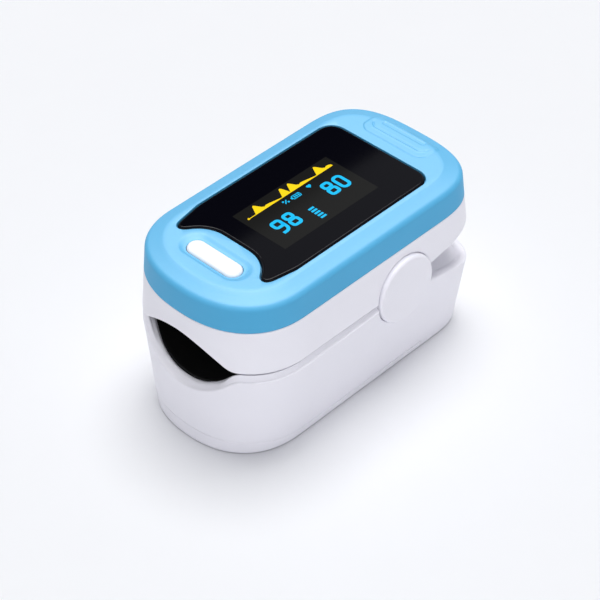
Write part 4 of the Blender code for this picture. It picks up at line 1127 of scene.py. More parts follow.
    def lip_rings(
        self, stations: Sequence[Station], line: Sequence[Vector], out: Sequence[Vector]
    ) -> list[list[Vector]]:
        """The rings inside the rim: a ledge with a slot along the sides, and a swelling lip at the scoop.

        Args:
            stations: The places round the case.
            line: The rim's outer line.
            out: The directions out of the case along it.

        Returns:
            The rings, from the rim inwards.
        """
        crests = [self.crest(s, p.z) for s, p in zip(stations, line)]
        lifts = [self.ledge * c for c in crests]
        falls = [c * walked(self.rim_fall, p.y) for c, p in zip(crests, line)]
        slots = [c * blend(*self.slot, abs(p.x)) for p, c in zip(line, crests)]
        mouth = [self.mouth(s, p.z) for s, p in zip(stations, line)]
        rings = []
        for inset, share, fall, groove, swell in self.lip:
            heights = [
                r * share + d - fall - groove * slot + swell * m
                for r, d, slot, m in zip(lifts, falls, slots, mouth)
            ]
            insets = [inset * (1 - self.lip_pull * m) for m in mouth]
            places = zip(line, out, heights, insets)
            rings.append([p - n * drawn + Vector((0, 0, h)) for p, n, h, drawn in places])
        return rings

    def add_tray(self, skin: Skin) -> None:
        """Adds the dished deck behind the hinge.

        Args:
            skin: The mesh that it goes into.
        """
        plate = Skin()
        level = self.tray[-1][1]
        loops = [at(self.rear_loop(inset, self.deck_y, level), drop) for inset, drop in self.dish]
        bottom, top = plate.stack(loops)
        plate.fill(bottom)
        plate.fill(top)
        plate.slice(1, self.tray_cuts)
        for vert in plate.bm.verts:
            vert.co.z += walked(self.tray, vert.co.y)
        merge(skin, plate)

    def add_base(self, skin: Skin) -> None:
        """Adds the floor behind the battery door.

        Args:
            skin: The mesh that it goes into.
        """
        plate = Skin()
        start = self.door_end + self.seam_gap / 2
        outline = self.rear_loop(self.base_tuck, start, 0.0)
        loops = [at(outline, height) for height in (self.sink, self.base)]
        bottom, top = plate.stack(loops)
        plate.fill(bottom)
        plate.fill(top)
        merge(skin, plate)


@dataclass
class BatteryDoor(LowerShell):
    """The bottom cover that slides off to the front, with thumb grooves and an arrow, in millimetres."""

    floor: float = 1.0
    groove: float = 0.3
    groove_half: float = 6.0
    groove_radius: float = 0.55
    groove_pitch: float = 2.0
    groove_start: float = 3.0
    groove_count: int = 5
    groove_draft: float = 0.12
    arrow_y: float = -2.2
    arrow_half: float = 2.6
    end_inset: float = 0.1

    def loop(self, inset: float, height: Callable[[float], float]) -> list[Vector]:
        """The door's outline, with a straight rear end.

        Args:
            inset: How far it is drawn in.
            height: Its height at a Y.

        Returns:
            The outline's points.
        """
        size = self.size(height(0.0))
        half, rear = size[0] - inset, self.door_end - min(inset, self.end_inset)
        angles = [math.pi * i / self.plan.end_steps for i in range(self.plan.end_steps + 1)]
        loop = [self.plan.spot((Zone.FRONT, a), size, inset) for a in angles]
        loop += [(half, y) for y in SIDE_PLACES] + [(half, rear)]
        loop += [(half * (1 - 2 * i / self.cross_steps), rear) for i in range(1, self.cross_steps)]
        loop += [(-half, rear)] + [(-half, y) for y in reversed(SIDE_PLACES)]
        return [Vector((x, y, height(y))) for x, y in loop]

    def build(self) -> None:
        """Makes the door as a shallow tray."""
        skin = Skin()
        ease = self.base_edge
        part = self.edge_share * ease
        rings = [self.loop(ease, lambda y: 0.0), self.loop(part, lambda y: part)]
        rings.append(self.loop(0.0, lambda y: ease))
        rings.append(self.loop(0.0, lambda y: walked(self.seam, y) - self.seam_edge))
        rings.append(self.loop(self.seam_edge, lambda y: walked(self.seam, y)))
        rings.append(self.loop(self.wall, lambda y: walked(self.seam, y)))
        rings.append(self.loop(self.wall, lambda y: self.floor))
        under, inside = skin.stack(rings)
        skin.fill(inside)
        places = [self.groove_start + i * self.groove_pitch for i in range(self.groove_count)]
        marks = [pill(self.groove_half, self.groove_radius, (0, y)) for y in places]
        side = self.arrow_half
        marks.append([(0.0, self.arrow_y - side), (side, self.arrow_y), (-side, self.arrow_y)])
        holes = []
        for outline in marks:
            hole = skin.ring(at(outline, 0.0))
            roof = skin.grow(hole, at(shrunk(outline, self.groove_draft), self.groove))
            skin.fill(roof)
            holes.append(hole)
        skin.fill(under, *holes)
        skin.publish("door", "white_case", Body.DOOR, "battery_door")


@dataclass(frozen=True)
class WindowOutline:
    """The black window's outline: round corners behind and two horns round the button, in millimetres."""

    half: float = 11.75
    rear: float = 19.2
    corner: float = 2.7
    corner_steps: int = 8
    side_places: tuple[float, ...] = (10.0, 0.0, -13.0)
    horn: Flat = (9.75, -18.2)
    horn_radius: float = 1.05
    horn_turn: Flat = (-8.0, -150.0)
    bay: Flat = (3.0, -21.7)
    bay_radius: float = 6.5
    bay_turn: Flat = (33.0, 90.0)
    bend_steps: int = 9
    spacing: float = 0.3
    rounds: int = 8

    def points(self) -> list[Flat]:
        """The outline's points, counter-clockwise.

        Returns:
            The points, evenly spaced and eased at the corners.
        """
        centre = (self.half - self.corner, self.rear - self.corner)
        right = arc(centre, self.corner, 90, 0, self.corner_steps)
        right += [(self.half, y) for y in self.side_places]
        right += arc(self.horn, self.horn_radius, *self.horn_turn, self.bend_steps)
        right += arc(self.bay, self.bay_radius, *self.bay_turn, self.bend_steps)
        left = [(-x, y) for x, y in reversed(right)]
        return softened(even_spaced([*right, *left][::-1], self.spacing), self.rounds)


WINDOW = WindowOutline()


@dataclass(frozen=True)
class CurvedLine:
    """A line across the cover, straight in the middle and bent to the rear at its ends, in millimetres."""

    start: float
    bend: float
    straight: float

    def past(self, side: float, y: float) -> float:
        """How far a place lies behind the line."""
        return y - self.start - self.bend * max(0.0, side - self.straight) ** 2


@dataclass(frozen=True)
class RearGrip:
    """The low tongue at the cover's rear, with a curved groove and a recess, in millimetres."""

    sink: float = 0.05
    rise: float = 0.17
    tongue: CurvedLine = CurvedLine(21.25, 0.3, 5.2)
    tongue_ease: float = 0.5
    side: Flat = (6.7, 7.7)
    end: Flat = (25.9, 27.3)
    groove: CurvedLine = CurvedLine(23.3, 0.55, 4.9)
    groove_width: float = 0.2
    groove_depth: float = 0.15
    groove_side: Flat = (5.9, 6.6)
    ridge: float = 0.05
    ridge_place: float = 1.9
    ridge_width: float = 1.3
    recess: Flat = (4.4, 25.25)
    recess_edge: Flat = (0.28, 0.56)
    recess_depth: float = 0.13
    patch_half: Flat = (8.0, 3.4)
    patch_y: float = 24.2
    cells: tuple[int, int] = (150, 70)
    skirt: float = 0.3

    def relief(self, x: float, y: float) -> float:
        """How far the grip stands over the cover's skin.

        Args:
            x: The place across the cover.
            y: The place along the cover.

        Returns:
            The height over the skin, below 0 outside the grip.
        """
        side = abs(x)
        tongue = blend(0.0, self.tongue_ease, self.tongue.past(side, y))
        mask = tongue * (1 - blend(*self.side, side)) * (1 - blend(*self.end, y))
        curve = self.groove.past(side, y) / self.groove_width
        inside = 1 - blend(*self.groove_side, side)
        groove = self.groove_depth * math.exp(-curve * curve) * inside
        ridge = self.ridge * math.exp(-((curve + self.ridge_place) / self.ridge_width) ** 2) * inside
        reach = math.hypot(max(0.0, side - self.recess[0]), y - self.recess[1])
        recess = self.recess_depth * (1 - blend(*self.recess_edge, reach))
        return -self.sink + (self.sink + self.rise + ridge - groove - recess) * mask

    def add_to(self, skin: Skin, height: Callable[[float, float], float]) -> None:
        """Adds the grip as a thin patch that rises softly out of the cover's skin.

        Args:
            skin: The mesh that it goes into.
            height: The height of the cover's skin at an X and a Y.
        """
        patch = Skin()
        across, along = self.cells
        bmesh.ops.create_grid(patch.bm, x_segments=across, y_segments=along, size=1.0)
        for vert in patch.bm.verts:
            x = self.patch_half[0] * vert.co.x
            y = self.patch_y + self.patch_half[1] * vert.co.y
            vert.co = (x, y, height(x, y) + self.relief(x, y))
        rim = [edge for edge in patch.bm.edges if edge.is_boundary]
        made = bmesh.ops.extrude_edge_only(patch.bm, edges=rim)["geom"]
        low = [item for item in made if isinstance(item, bmesh.types.BMVert)]
        bmesh.ops.translate(patch.bm, verts=low, vec=(0, 0, -self.skirt))
        bmesh.ops.holes_fill(patch.bm, edges=[edge for edge in patch.bm.edges if edge.is_boundary])
        merge(skin, patch)


@dataclass
class TopCover:
    """The blue cover: soft edges, a flat top, a dish round the button and a ribbed grip, in millimetres.

    Each row of the rim holds an inset and a fall. The hole holds half its length, its radius and its Y.
    """

    edge_z: float = 27.8
    top_z: float = 33.75
    wall: float = 1.3
    draft: float = 0.35
    radius: float = 1.2
    shoulder: float = 3.3
    drop: float = 0.85
    crease: float = 0.4
    pocket: float = 32.62
    roof: float = 32.05
    gap: float = 0.2
    seam_edge: float = 0.06
    round_steps: int = 7
    slope_shares: Flat = (0.35, 0.7)
    crease_steps: int = 5
    rim: tuple[Flat, ...] = ((-0.12, 0.0), (-0.04, 0.04), (0.0, 0.14))
    dish_half: float = 7.7
    dish_radius: float = 3.1
    dish_y: float = -20.15
    dish_depth: float = 0.38
    dish_run: float = 0.85
    dish_rings: int = 8
    dish_steps: int = 20
    hole: tuple[float, float, float] = (5.94, 1.84, -20.4)
    halvings: int = 30
    grip: RearGrip = RearGrip()
    stations: list[Station] = field(default_factory=lambda: PLAN.stations(SIDE_PLACES))

    def ring(self, inset: float, z: float) -> list[Point]:
        """A level ring of the cover."""
        size = (PLAN.half_width, PLAN.front, PLAN.rear)
        return [(*PLAN.spot(station, size, inset), z) for station in self.stations]

    def profile(self) -> list[Flat]:
        """The side's section, from the lower edge to the flat top.

        Returns:
            The section's points as inset and height.
        """
        side = self.top_z - self.drop
        slope = math.atan2(self.drop, self.shoulder)
        line = [(self.seam_edge, self.edge_z), (0.0, self.edge_z + self.seam_edge)]
        rise = side - self.radius - self.edge_z
        line += [(self.draft * share, self.edge_z + rise * share) for share in (0.5, 1.0)]
        for i in range(1, self.round_steps + 1):
            turn = i / self.round_steps * (math.pi / 2 - slope)
            bend = self.draft + self.radius * (1 - math.cos(turn))
            line.append((bend, side - self.radius * (1 - math.sin(turn))))
        end = self.draft + self.shoulder
        inset, height = line[-1]
        run = end - self.crease - inset
        for share in self.slope_shares:
            climb = (self.top_z - height) * share * run / (end - inset)
            line.append((inset + run * share, height + climb))
        for i in range(self.crease_steps + 1):
            share = i / self.crease_steps
            fall = self.drop / self.shoulder * self.crease * (1 - share) ** 2
            line.append((end + self.crease * (share * 2 - 1), self.top_z - fall))
        return line

    def build(self) -> None:
        """Makes the cover with its pocket, dish and button hole."""
        skin = Skin()
        rings = [self.ring(inset, z) for inset, z in self.profile()]
        inner = [self.ring(self.draft + self.shoulder, self.roof)]
        inner.append(self.ring(self.wall + self.draft, self.roof - self.drop))
        inner.append(self.ring(self.wall, self.edge_z))
        roof, crest = skin.stack(inner + rings)
        window = shrunk(WINDOW.points(), -self.gap)
        levels = [at(shrunk(window, inset), self.top_z - fall) for inset, fall in self.rim]
        rim, floor = skin.stack([*levels, at(window, self.pocket)])
        skin.fill(floor)
        dish, hole = self.add_dish(skin)
        skin.fill(crest, rim, dish)
        skin.fill(roof, hole)
        self.grip.add_to(skin, self.height)
        skin.publish("cover", "blue_cover", Body.UPPER, "top_cover")

    def add_dish(self, skin: Skin) -> tuple[Loop, Loop]:
        """Adds the soft dish that leads down to the button's hole.

        Args:
            skin: The mesh that it goes into.

        Returns:
            The dish's outer ring and the hole's lower ring.
        """
        wide = pill(self.dish_half, self.dish_radius, (0, self.dish_y), self.dish_steps)
        half, radius, middle = self.hole
        narrow = pill(half, radius, (0, middle), self.dish_steps)
        outer = last = skin.ring(at(wide, self.top_z))
        for i in range(1, self.dish_rings + 1):
            share = i / self.dish_rings
            mixed = [tuple(p + (q - p) * share for p, q in zip(a, b)) for a, b in zip(wide, narrow)]
            fall = self.dish_depth * blend(0.0, self.dish_run, share)
            last = skin.grow(last, at(mixed, self.top_z - fall))
        return outer, skin.grow(last, at(narrow, self.roof))

    def height(self, x: float, y: float) -> float:
        """The height of the cover's skin at a place behind the window.

        Args:
            x: The place across the cover.
            y: The place along the cover.

        Returns:
            The height, found from the place's inset by halving.
        """
        middle = PLAN.rear - PLAN.tail
        low, high = 0.0, PLAN.tail - 1.0
        for _ in range(self.halvings):
            inset = (low + high) / 2
            across = abs(x / (PLAN.half_width - inset)) ** PLAN.tail_power
            along = max(0.0, (y - middle) / (PLAN.tail - inset)) ** PLAN.tail_power
            low, high = (inset, high) if across + along < 1 else (low, inset)
        line = self.profile()
        for (a, below), (b, above) in zip(line, line[1:]):
            if a <= low <= b and b > a:
                return below + (above - below) * (low - a) / (b - a)
        return self.top_z


@dataclass
class DisplayWindow:
    """The glossy black window with its eased rim, in millimetres.

    Each row of the rim holds an inset and a fall.
    """

    low: float = 32.95
    top: float = 33.85
    rim: tuple[Flat, ...] = ((0.0, 0.34), (0.02, 0.3), (0.3, 0.02), (0.36, 0.0), (0.44, 0.0))

    def build(self) -> None:
        """Makes the window."""
        skin = Skin()
        outline = WINDOW.points()
        rings = [at(outline, self.low)]
        rings += [at(shrunk(outline, inset), self.top - fall) for inset, fall in self.rim]
        bottom, top = skin.stack(rings)
        skin.fill(bottom)
        skin.fill(top)
        skin.publish("window", "black_window", Body.UPPER, "display_window")


@dataclass(frozen=True)
class Tile:
    """A rounded rectangle in the screen's own axes s and t, in millimetres."""

    middle: Flat
    half: Flat
    corner: float
    steps: int = 6

    def outline(self) -> list[Flat]:
        """The rectangle's outline, counter-clockwise.

        Returns:
            The points in s and t.
        """
        (a, b), (w, h) = self.middle, self.half
        corner = self.corner
        points = []
        for x, y, turn in ((1, 1, 0), (-1, 1, 90), (-1, -1, 180), (1, -1, 270)):
            centre = (a + x * (w - corner), b + y * (h - corner))
            points += arc(centre, corner, turn, turn + 90, self.steps)
        return points

    def moved(self, s: float, t: float) -> "Tile":
        """The same rectangle at another place."""
        return replace(self, middle=(s + self.middle[0], t + self.middle[1]))


@dataclass(frozen=True)
class Beat:
    """One beat of the pulse trace, in millimetres from its start and up the picture."""

    start: float
    end: Flat
    full: bool = True
    foot: float = 0.12
    peak: tuple[Flat, ...] = ((1.1, 4.72), (1.35, 4.85), (1.62, 4.5))
    wave: tuple[Flat, ...] = ((2.15, 3.55), (2.6, 3.25), (3.0, 3.45), (3.5, 3.4))

    def edge(self, base: float) -> list[Flat]:
        """The beat's upper edge.

        Args:
            base: The height that it rises from.

        Returns:
            The points in s and t.
        """
        steps = [(self.foot, base), *self.peak]
        if self.full:
            steps += self.wave
        return [(self.start + s, t) for s, t in [*steps, self.end]]


@dataclass
class Screen:
    """The lit picture: a ground, a pulse trace, two readings and small signs, in millimetres.

    Its own axes are s, along the reading direction (+Y), and t, up the picture (-X).
    """

    z: float = 33.852
    film: float = 0.012
    ground: Tile = Tile((-0.05, -0.85), (11.15, 6.15), 0.15)
    stroke: float = 0.62
    least_corner: float = 0.15
    readings: tuple[tuple[int, Flat], ...] = (
        (9, (-8.75, -4.25)),
        (8, (-6.05, -4.2)),
        (8, (4.25, -3.15)),
        (0, (6.9, -3.2)),
    )
    bar: Tile = Tile((-0.75, -2.75), (0.62, 0.22), 0.08)
    bar_step: float = 0.72
    bars: int = 5
    percent_line: tuple[Flat, Flat] = ((-2.75, 1.15), (-2.0, 1.95))
    percent_width: float = 0.2
    percent_dot: Tile = Tile((0.0, 0.0), (0.2, 0.2), 0.19)
    percent_spots: tuple[Flat, Flat] = ((-2.75, 1.85), (-2.0, 1.25))
    cell: Tile = Tile((0.0, 1.45), (0.95, 0.5), 0.2)
    cell_room: Tile = Tile((0.0, 1.45), (0.8, 0.35), 0.1)
    cell_tip: Tile = Tile((-1.08, 1.45), (0.13, 0.22), 0.05)
    charge: Tile = Tile((0.52, 1.45), (0.13, 0.25), 0.04)
    charge_step: float = 0.45
    charges: int = 3
    heart_tip: Flat = (3.3, 1.25)
    heart_lobes: tuple[Flat, Flat] = ((3.52, 1.83), (3.08, 1.83))
    heart_radius: float = 0.27
    trace_ends: Flat = (-9.95, 10.2)
    trace_low: float = 2.72
    trace_line: float = 0.15
    beats: tuple[Beat, ...] = (
        Beat(-8.25, (6.0, 2.91)),
        Beat(-2.0, (1.9, 3.5), full=False),
        Beat(-0.05, (6.0, 2.91)),
        Beat(6.25, (3.95, 3.15)),
    )
    trace_dot: Tile = Tile((-9.8, 2.82), (0.22, 0.2), 0.15)

    def plate(self, skin: Skin, outline: Sequence[Flat], lift: float, hole: Sequence[Flat] = ()) -> None:
        """Adds a thin plate.

        Args:
            skin: The mesh that it goes into.
            outline: Its outline in s and t.
            lift: The height of its underside over the window.
            hole: An outline cut out of it.
        """
        lines = (outline, hole) if hole else (outline,)
        loops = [skin.ring([(-t, s, self.z + lift) for s, t in line]) for line in lines]
        skin.fill(*loops)
        tops = [skin.grow(loop, [v.co + Vector((0, 0, self.film)) for v in loop]) for loop in loops]
        skin.fill(*tops)

    def bowl(self, skin: Skin, tile: Tile) -> None:
        """Adds a closed loop of a digit's stroke.

        Args:
            skin: The mesh that it goes into.
            tile: The loop's outer edge.
        """
        half = (tile.half[0] - self.stroke, tile.half[1] - self.stroke)
        hole = Tile(tile.middle, half, max(self.least_corner, tile.corner - self.stroke))
        self.plate(skin, tile.outline(), self.film, hole.outline())

    def band(self, skin: Skin, path: Sequence[Flat], width: float) -> None:
        """Adds a stroke of even width.

        Args:
            skin: The mesh that it goes into.
            path: The stroke's middle line in s and t.
            width: The stroke's width.
        """
        spots = [Vector(point) for point in path]
        left, right = [], []
        for i, spot in enumerate(spots):
            along = (spots[min(i + 1, len(spots) - 1)] - spots[max(i - 1, 0)]).normalized()
            across = Vector((-along.y, along.x)) * width / 2
            left.append(tuple(spot + across))
            right.append(tuple(spot - across))
        self.plate(skin, right + left[::-1], self.film)

    def digit(self, skin: Skin, number: int, corner: Flat) -> None:
        """Adds one digit of a reading, 2.3 wide and 3.75 high.

        Args:
            skin: The mesh that it goes into.
            number: 0, 8 or 9.
            corner: The lower left corner.
        """
        s, t = corner
        if number == 0:
            self.bowl(skin, Tile((1.1, 1.87), (1.1, 1.87), 1.0).moved(s, t))
        elif number == 8:
            self.bowl(skin, Tile((1.15, 1.05), (1.15, 1.05), 0.75).moved(s, t))
            self.bowl(skin, Tile((1.15, 2.78), (1.05, 0.97), 0.75).moved(s, t))
        else:
            self.bowl(skin, Tile((1.15, 2.65), (1.15, 1.1), 0.8).moved(s, t))
            hook = [(s + 1.99, t + 2.6), (s + 1.99, t + 1.5)] + arc((s + 1.0, t + 1.3), 0.99, 0, -100, 8)
            self.band(skin, hook + [(s + 0.35, t + 0.3)], self.stroke)

    def build_readings(self) -> None:
        """Makes the two readings, the bars and the small signs in cyan."""
        skin = Skin()
        for number, corner in self.readings:
            self.digit(skin, number, corner)
        for i in range(self.bars):
            self.plate(skin, self.bar.moved(0.0, -self.bar_step * i).outline(), self.film)
        self.band(skin, self.percent_line, self.percent_width)
        for spot in self.percent_spots:
            self.plate(skin, self.percent_dot.moved(*spot).outline(), self.film)
        self.plate(skin, self.cell.outline(), self.film, self.cell_room.outline())
        self.plate(skin, self.cell_tip.outline(), self.film)
        for i in range(self.charges):
            self.plate(skin, self.charge.moved(-self.charge_step * i, 0.0).outline(), self.film)
        right, left = self.heart_lobes
        heart = [self.heart_tip] + arc(right, self.heart_radius, -30, 150, 7)
        self.plate(skin, heart + arc(left, self.heart_radius, 30, 210, 7), self.film)
        skin.publish("screen_readings", "lit_cyan", Body.UPPER)

    def build_trace(self) -> None:
        """Makes the pulse trace in yellow."""
        skin = Skin()
        start, end = self.trace_ends
        base = self.trace_low + self.trace_line
        top = [(start, base), (self.beats[0].start, base)]
        for beat in self.beats:
            top += beat.edge(base)
        self.plate(skin, [(start, self.trace_low), (end, self.trace_low)] + top[::-1], self.film)
        self.plate(skin, self.trace_dot.outline(), self.film)
        skin.publish("screen_trace", "lit_yellow", Body.UPPER)

    def build(self) -> None:
        """Makes the screen's ground and its picture."""
        skin = Skin()
        self.plate(skin, self.ground.outline(), 0.0)
        skin.publish("screen_ground", "lit_ground", Body.UPPER)
        self.build_readings()
        self.build_trace()


@dataclass
class Button:
    """The white pill-shaped button, crowned and soft at its edge, in millimetres."""

    half: float = 5.84
    radius: float = 1.74
    y: float = -20.4
    low: float = 31.75
    top: float = 34.05
    edge: float = 0.7
    edge_steps: int = 7
    crown: float = 0.12
    crown_shares: tuple[float, ...] = (0.35, 0.7, 0.93)
    steps: int = 24

    def ring(self, inset: float, z: float) -> list[Point]:
        """A level ring of the button, drawn in by an inset."""
        return at(pill(self.half - inset, self.radius - inset, (0, self.y), self.steps), z)

    def build(self) -> None:
        """Makes the button."""
        skin = Skin()
        rings = [self.ring(0.0, self.low)]
        for i in range(self.edge_steps + 1):
            turn = math.pi / 2 * i / self.edge_steps
            inset, fall = (self.edge * (1 - part) for part in (math.cos(turn), math.sin(turn)))
            rings.append(self.ring(inset, self.top - self.crown - fall))
        for share in self.crown_shares:
            inset = self.edge + (self.radius - self.edge) * share
            rings.append(self.ring(inset, self.top - self.crown * (1 - share) ** 2))
        bottom, top = skin.stack(rings)
        skin.fill(bottom)
        skin.fill(top)
        skin.publish("button", "white_button", Body.BUTTON, "power_button")


@dataclass(frozen=True)
class Pad:
    """One pad: its names, the half of the case that it lies in, and its own sizes in millimetres.

    The level is the height at which the case limits the pad's front. The inset is how far inside the case's
    skin that front lies. The sign is 1 for the trough and -1 for the vault.
    """

    name: str
    node: str
    body: Body
    shell: Shell
    level: float
    inset: float
    sign: int
    half: float
    lip: float
    rear: float


@dataclass
class FingerPads:
    """The two silicone pads, each a thin trough with a rolled lip at the opening, in millimetres."""

    radius: float = 14.0
    trough: float = 13.2
    vault: float = 23.5
    thickness: float = 0.8
    lip_run: float = 1.1
    optic_y: float = -8.0
    optic: float = 1.9
    ring_rise: float = 0.18
    ring_place: float = 0.7
    ring_width: float = 0.45
    well: float = 0.3
    well_edge: float = 0.2
    stop_y: float = 0.6
    stop_z: float = 16.9
    stop_room: float = 0.55
    eased: float = 0.2
    eased_steps: int = 3
    eased_from: float = 50.0
    columns: int = 40
    rows: int = 48

    def build(self) -> None:
        """Makes both pads."""
        lower = ("lower_pad", "lower_finger_pad", Body.LOWER, LowerShell())
        self.add_pad(Pad(*lower, level=14.0, inset=1.9, sign=1, half=11.2, lip=0.3, rear=1.2))
        upper = ("upper_pad", "upper_finger_pad", Body.UPPER, UpperShell())
        self.add_pad(Pad(*upper, level=22.0, inset=1.8, sign=-1, half=10.2, lip=0.35, rear=self.stop_y))

    def rise(self, pad: Pad, x: float, y: float, start: float) -> float:
        """How far a pad's skin stands over its round form: the lip, and the framed hole for the light.

        Args:
            pad: The pad.
            x: The place across it.
            y: The place along it.
            start: Where its front lies at that X.

        Returns:
            The height over the round form.
        """
        lip = pad.lip * math.exp(-(((y - start) / self.lip_run) ** 2))
        ring = max(abs(x), abs(y - self.optic_y))
        swell = math.exp(-(((ring - self.optic - self.ring_place) / self.ring_width) ** 2))
        well = blend(self.optic + self.well_edge, self.optic - self.well_edge, ring)
        return lip + self.ring_rise * swell - self.well * well

    def add_pad(self, pad: Pad) -> None:
        """Makes one pad as a bent sheet with a thickness.

        Args:
            pad: The pad.
        """
        radius = self.radius
        spread = math.asin(pad.half / radius)
        half, front, _ = (part - pad.inset for part in pad.shell.size(pad.level))
        nose = PLAN.nose - pad.inset
        middle = self.trough + radius if pad.sign > 0 else self.vault - radius
        skin = Skin()
        bmesh.ops.create_grid(skin.bm, x_segments=self.columns, y_segments=self.rows, size=1.0)
        for vert in skin.bm.verts:
            angle, along = vert.co.x * spread, (vert.co.y + 1) / 2
            x = radius * math.sin(angle)
            reach = nose * max(0.0, 1 - abs(x / half) ** PLAN.nose_power) ** (1 / PLAN.nose_power)
            start = nose - front - reach
            y = start + (pad.rear - start) * along
            depth = radius - self.rise(pad, x, y, start)
            vert.co = (x, y, middle - pad.sign * depth * math.cos(angle))
        for face in skin.bm.faces:
            face.normal_update()
            if face.normal.z * pad.sign < 0:
                face.normal_flip()
        if pad.sign < 0:
            self.add_stop(skin)
        bmesh.ops.solidify(skin.bm, geom=skin.bm.faces[:], thickness=self.thickness)
        piece = skin.publish(pad.name, "black_silicone", pad.body, pad.node)
        eased = piece.modifiers.new("eased", "BEVEL")
        eased.width = self.eased * MM
        eased.segments = self.eased_steps
        eased.limit_method = "ANGLE"
        eased.angle_limit = math.radians(self.eased_from)

    def add_stop(self, skin: Skin) -> None:
        """Turns the vault's rear end down to a stop for the fingertip.

        Args:
            skin: The vault's sheet.
        """
        behind = [e for e in skin.bm.edges if all(abs(v.co.y - self.stop_y) < AT_END for v in e.verts)]
        made = bmesh.ops.extrude_edge_only(skin.bm, edges=behind)["geom"]
        for item in made:
            if isinstance(item, bmesh.types.BMVert):
                floor = self.trough + self.radius - math.sqrt(self.radius**2 - item.co.x**2)
                item.co.z = max(self.stop_z, floor + self.stop_room)
        for face in (item for item in made if isinstance(item, bmesh.types.BMFace)):
            face.normal_update()
            if face.normal.y > 0:
                face.normal_flip()


@dataclass(frozen=True)
class Lamp:
    """A soft square lamp that points at the object, in metres and watts."""

    name: str
    place: Point
    size: float
    power: float
    aim: Point = (0.0, 0.0, 0.02)

    def build(self) -> bpy.types.Object:
        """Makes the lamp.

        Returns:
            The lamp's object.
        """
        light = bpy.data.lights.new(self.name, "AREA")
        light.size = self.size
        light.energy = self.power
        lamp = bpy.data.objects.new(self.name, light)
        lamp.location = self.place
        lamp.rotation_euler = (Vector(self.place) - Vector(self.aim)).to_track_quat("Z", "Y").to_euler()
        bpy.context.scene.collection.objects.link(lamp)
        return lamp


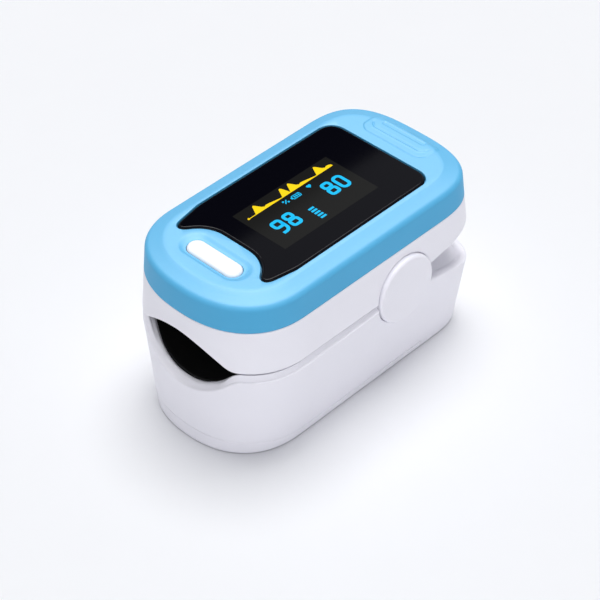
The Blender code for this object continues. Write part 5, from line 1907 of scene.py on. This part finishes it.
@dataclass
class Studio:
    """A pale floor, soft lamps and the photograph's camera, in metres."""

    place: Point = (0.18744, -0.18845, 0.24478)
    right: Point = (0.7162, 0.6978, -0.0150)
    up: Point = (-0.4523, 0.4803, 0.7515)
    back: Point = (0.5315, -0.5314, 0.6596)
    lens: float = 121.8
    sensor: float = 36.0
    near: float = 0.01
    pale: Colour = (0.84, 0.85, 0.885)
    ambient: Colour = (0.93, 0.95, 1.0)
    ambient_power: float = 0.3
    floor_pale: Colour = (0.93, 0.935, 0.955)
    floor_half: float = 0.75
    floor_drop: float = 0.05 * MM
    floor_cells: int = 8
    key_from: Point = (-0.12, 0.2, 1.1)
    key_spread: float = 40.0
    key_power: float = 2.2
    front_fill: Lamp = Lamp("front_lamp", (0.2, -0.95, 0.6), 0.7, 2.8)
    side_fill: Lamp = Lamp("side_lamp", (0.95, -0.1, 0.6), 0.7, 3.0)
    sheen: Lamp = Lamp("sheen_lamp", (-0.3, 0.3, 1.3), 1.2, 62.0)
    flag_half: Point = (0.09, 0.2, 1.0)
    flag_place: Point = (-0.592, 0.51, 0.6)
    flag_dark: Colour = (0.004, 0.004, 0.005)

    def build(self) -> None:
        """Sets the stage."""
        self.set_view()
        floor = self.add_floor()
        self.add_world()
        self.add_key()
        self.keep_off(floor, [self.front_fill.build(), self.side_fill.build()])
        sheen = self.sheen.build()
        sheen.visible_diffuse = False
        self.add_flag()

    def keep_off(self, floor: bpy.types.Object, lamps: Sequence[bpy.types.Object]) -> None:
        """Keeps the fill lamps off the floor, so that they don't wash out the shadow under the case.

        Args:
            floor: The floor.
            lamps: The lamps that leave it out.
        """
        kept_off = bpy.data.collections.new("kept_off_floor")
        kept_off.objects.link(floor)
        kept_off.collection_objects[0].light_linking.link_state = "EXCLUDE"
        for lamp in lamps:
            lamp.light_linking.receiver_collection = kept_off

    def set_view(self) -> None:
        """Makes the camera and the picture's settings."""
        scene = bpy.context.scene
        scene.view_settings.view_transform = "Standard"
        camera = bpy.data.cameras.new("camera")
        camera.lens = self.lens
        camera.sensor_width = self.sensor
        camera.clip_start = self.near
        eye = bpy.data.objects.new("camera", camera)
        columns = [(*self.right, 0.0), (*self.up, 0.0), (*self.back, 0.0), (*self.place, 1.0)]
        turn = Matrix(columns).transposed()
        eye.matrix_world = Matrix.LocRotScale(turn.to_translation(), turn.to_quaternion(), None)
        scene.collection.objects.link(eye)
        scene.camera = eye

    def add_floor(self) -> bpy.types.Object:
        """Makes the floor.

        Returns:
            The floor's object.
        """
        shape = bmesh.new()
        cells = self.floor_cells
        bmesh.ops.create_grid(shape, x_segments=cells, y_segments=cells, size=self.floor_half)
        bmesh.ops.translate(shape, verts=shape.verts, vec=(0, 0, -self.floor_drop))
        mesh = bpy.data.meshes.new("floor")
        shape.to_mesh(mesh)
        shape.free()
        floor = bpy.data.objects.new("floor", mesh)
        bpy.context.scene.collection.objects.link(floor)
        finish = Moulded("pale_floor", self.floor_pale, 0.8, tone=0.006, grain=0.02, specular=0.1)
        mesh.materials.append(finish.build())
        return floor

    def add_world(self) -> None:
        """Makes the surroundings: soft light on the object, and a pale backdrop to the eye."""
        world = bpy.data.worlds.new("studio")
        bpy.context.scene.world = world
        world.use_nodes = True
        tree = world.node_tree
        ambient = tree.nodes["Background"]
        ambient.inputs["Color"].default_value = (*self.ambient, 1.0)
        ambient.inputs["Strength"].default_value = self.ambient_power
        seen = tree.nodes.new("ShaderNodeBackground")
        seen.inputs["Color"].default_value = (*self.pale, 1.0)
        path = tree.nodes.new("ShaderNodeLightPath")
        last = path.outputs["Is Camera Ray"]
        for name in ("Is Glossy Ray", "Is Transmission Ray"):
            either = tree.nodes.new("ShaderNodeMath")
            either.operation = "MAXIMUM"
            tree.links.new(last, either.inputs[0])
            tree.links.new(path.outputs[name], either.inputs[1])
            last = either.outputs[0]
        mix = tree.nodes.new("ShaderNodeMixShader")
        tree.links.new(last, mix.inputs["Fac"])
        tree.links.new(ambient.outputs[0], mix.inputs[1])
        tree.links.new(seen.outputs[0], mix.inputs[2])
        tree.links.new(mix.outputs[0], tree.nodes["World Output"].inputs["Surface"])

    def add_flag(self) -> None:
        """Hangs a dark flag behind the object, which only the gloss on the window and the case shows."""
        shape = bmesh.new()
        bmesh.ops.create_grid(shape, x_segments=2, y_segments=2, size=1.0)
        bmesh.ops.scale(shape, vec=self.flag_half, verts=shape.verts)
        bmesh.ops.translate(shape, vec=self.flag_place, verts=shape.verts)
        mesh = bpy.data.meshes.new("flag")
        shape.to_mesh(mesh)
        shape.free()
        flag = bpy.data.objects.new("flag", mesh)
        bpy.context.scene.collection.objects.link(flag)
        finish = Moulded("dark_cloth", self.flag_dark, 0.9, tone=0.2, specular=0.0)
        mesh.materials.append(finish.build())
        for kind in ("camera", "diffuse", "transmission", "shadow"):
            setattr(flag, f"visible_{kind}", False)

    def add_key(self) -> None:
        """Adds the main light, which is as strong far off on the floor as near by."""
        light = bpy.data.lights.new("key_lamp", "SUN")
        light.angle = math.radians(self.key_spread)
        light.energy = self.key_power
        lamp = bpy.data.objects.new("key_lamp", light)
        lamp.rotation_euler = Vector(self.key_from).to_track_quat("Z", "Y").to_euler()
        bpy.context.scene.collection.objects.link(lamp)


def dress_solids() -> None:
    """Gives every solid that still shows the finish of its slot in the record."""
    for part in frame["record"]["subparts"]:
        node = frame["nodes"][part["node"]]
        node.data.materials.clear()
        node.data.materials.append(PALETTE[part["material_slot"]])


def main() -> None:
    """Builds the stage and the pieces in order."""
    logging.basicConfig(level=logging.INFO, format="%(name)s: %(message)s")
    Studio().build()
    dress_solids()
    outside = (TopCover(), DisplayWindow(), Screen(), Button())
    for part in (*outside, UpperShell(), LowerShell(), BatteryDoor(), HINGE, FingerPads()):
        part.build()


if __name__ == "__main__":
    main()
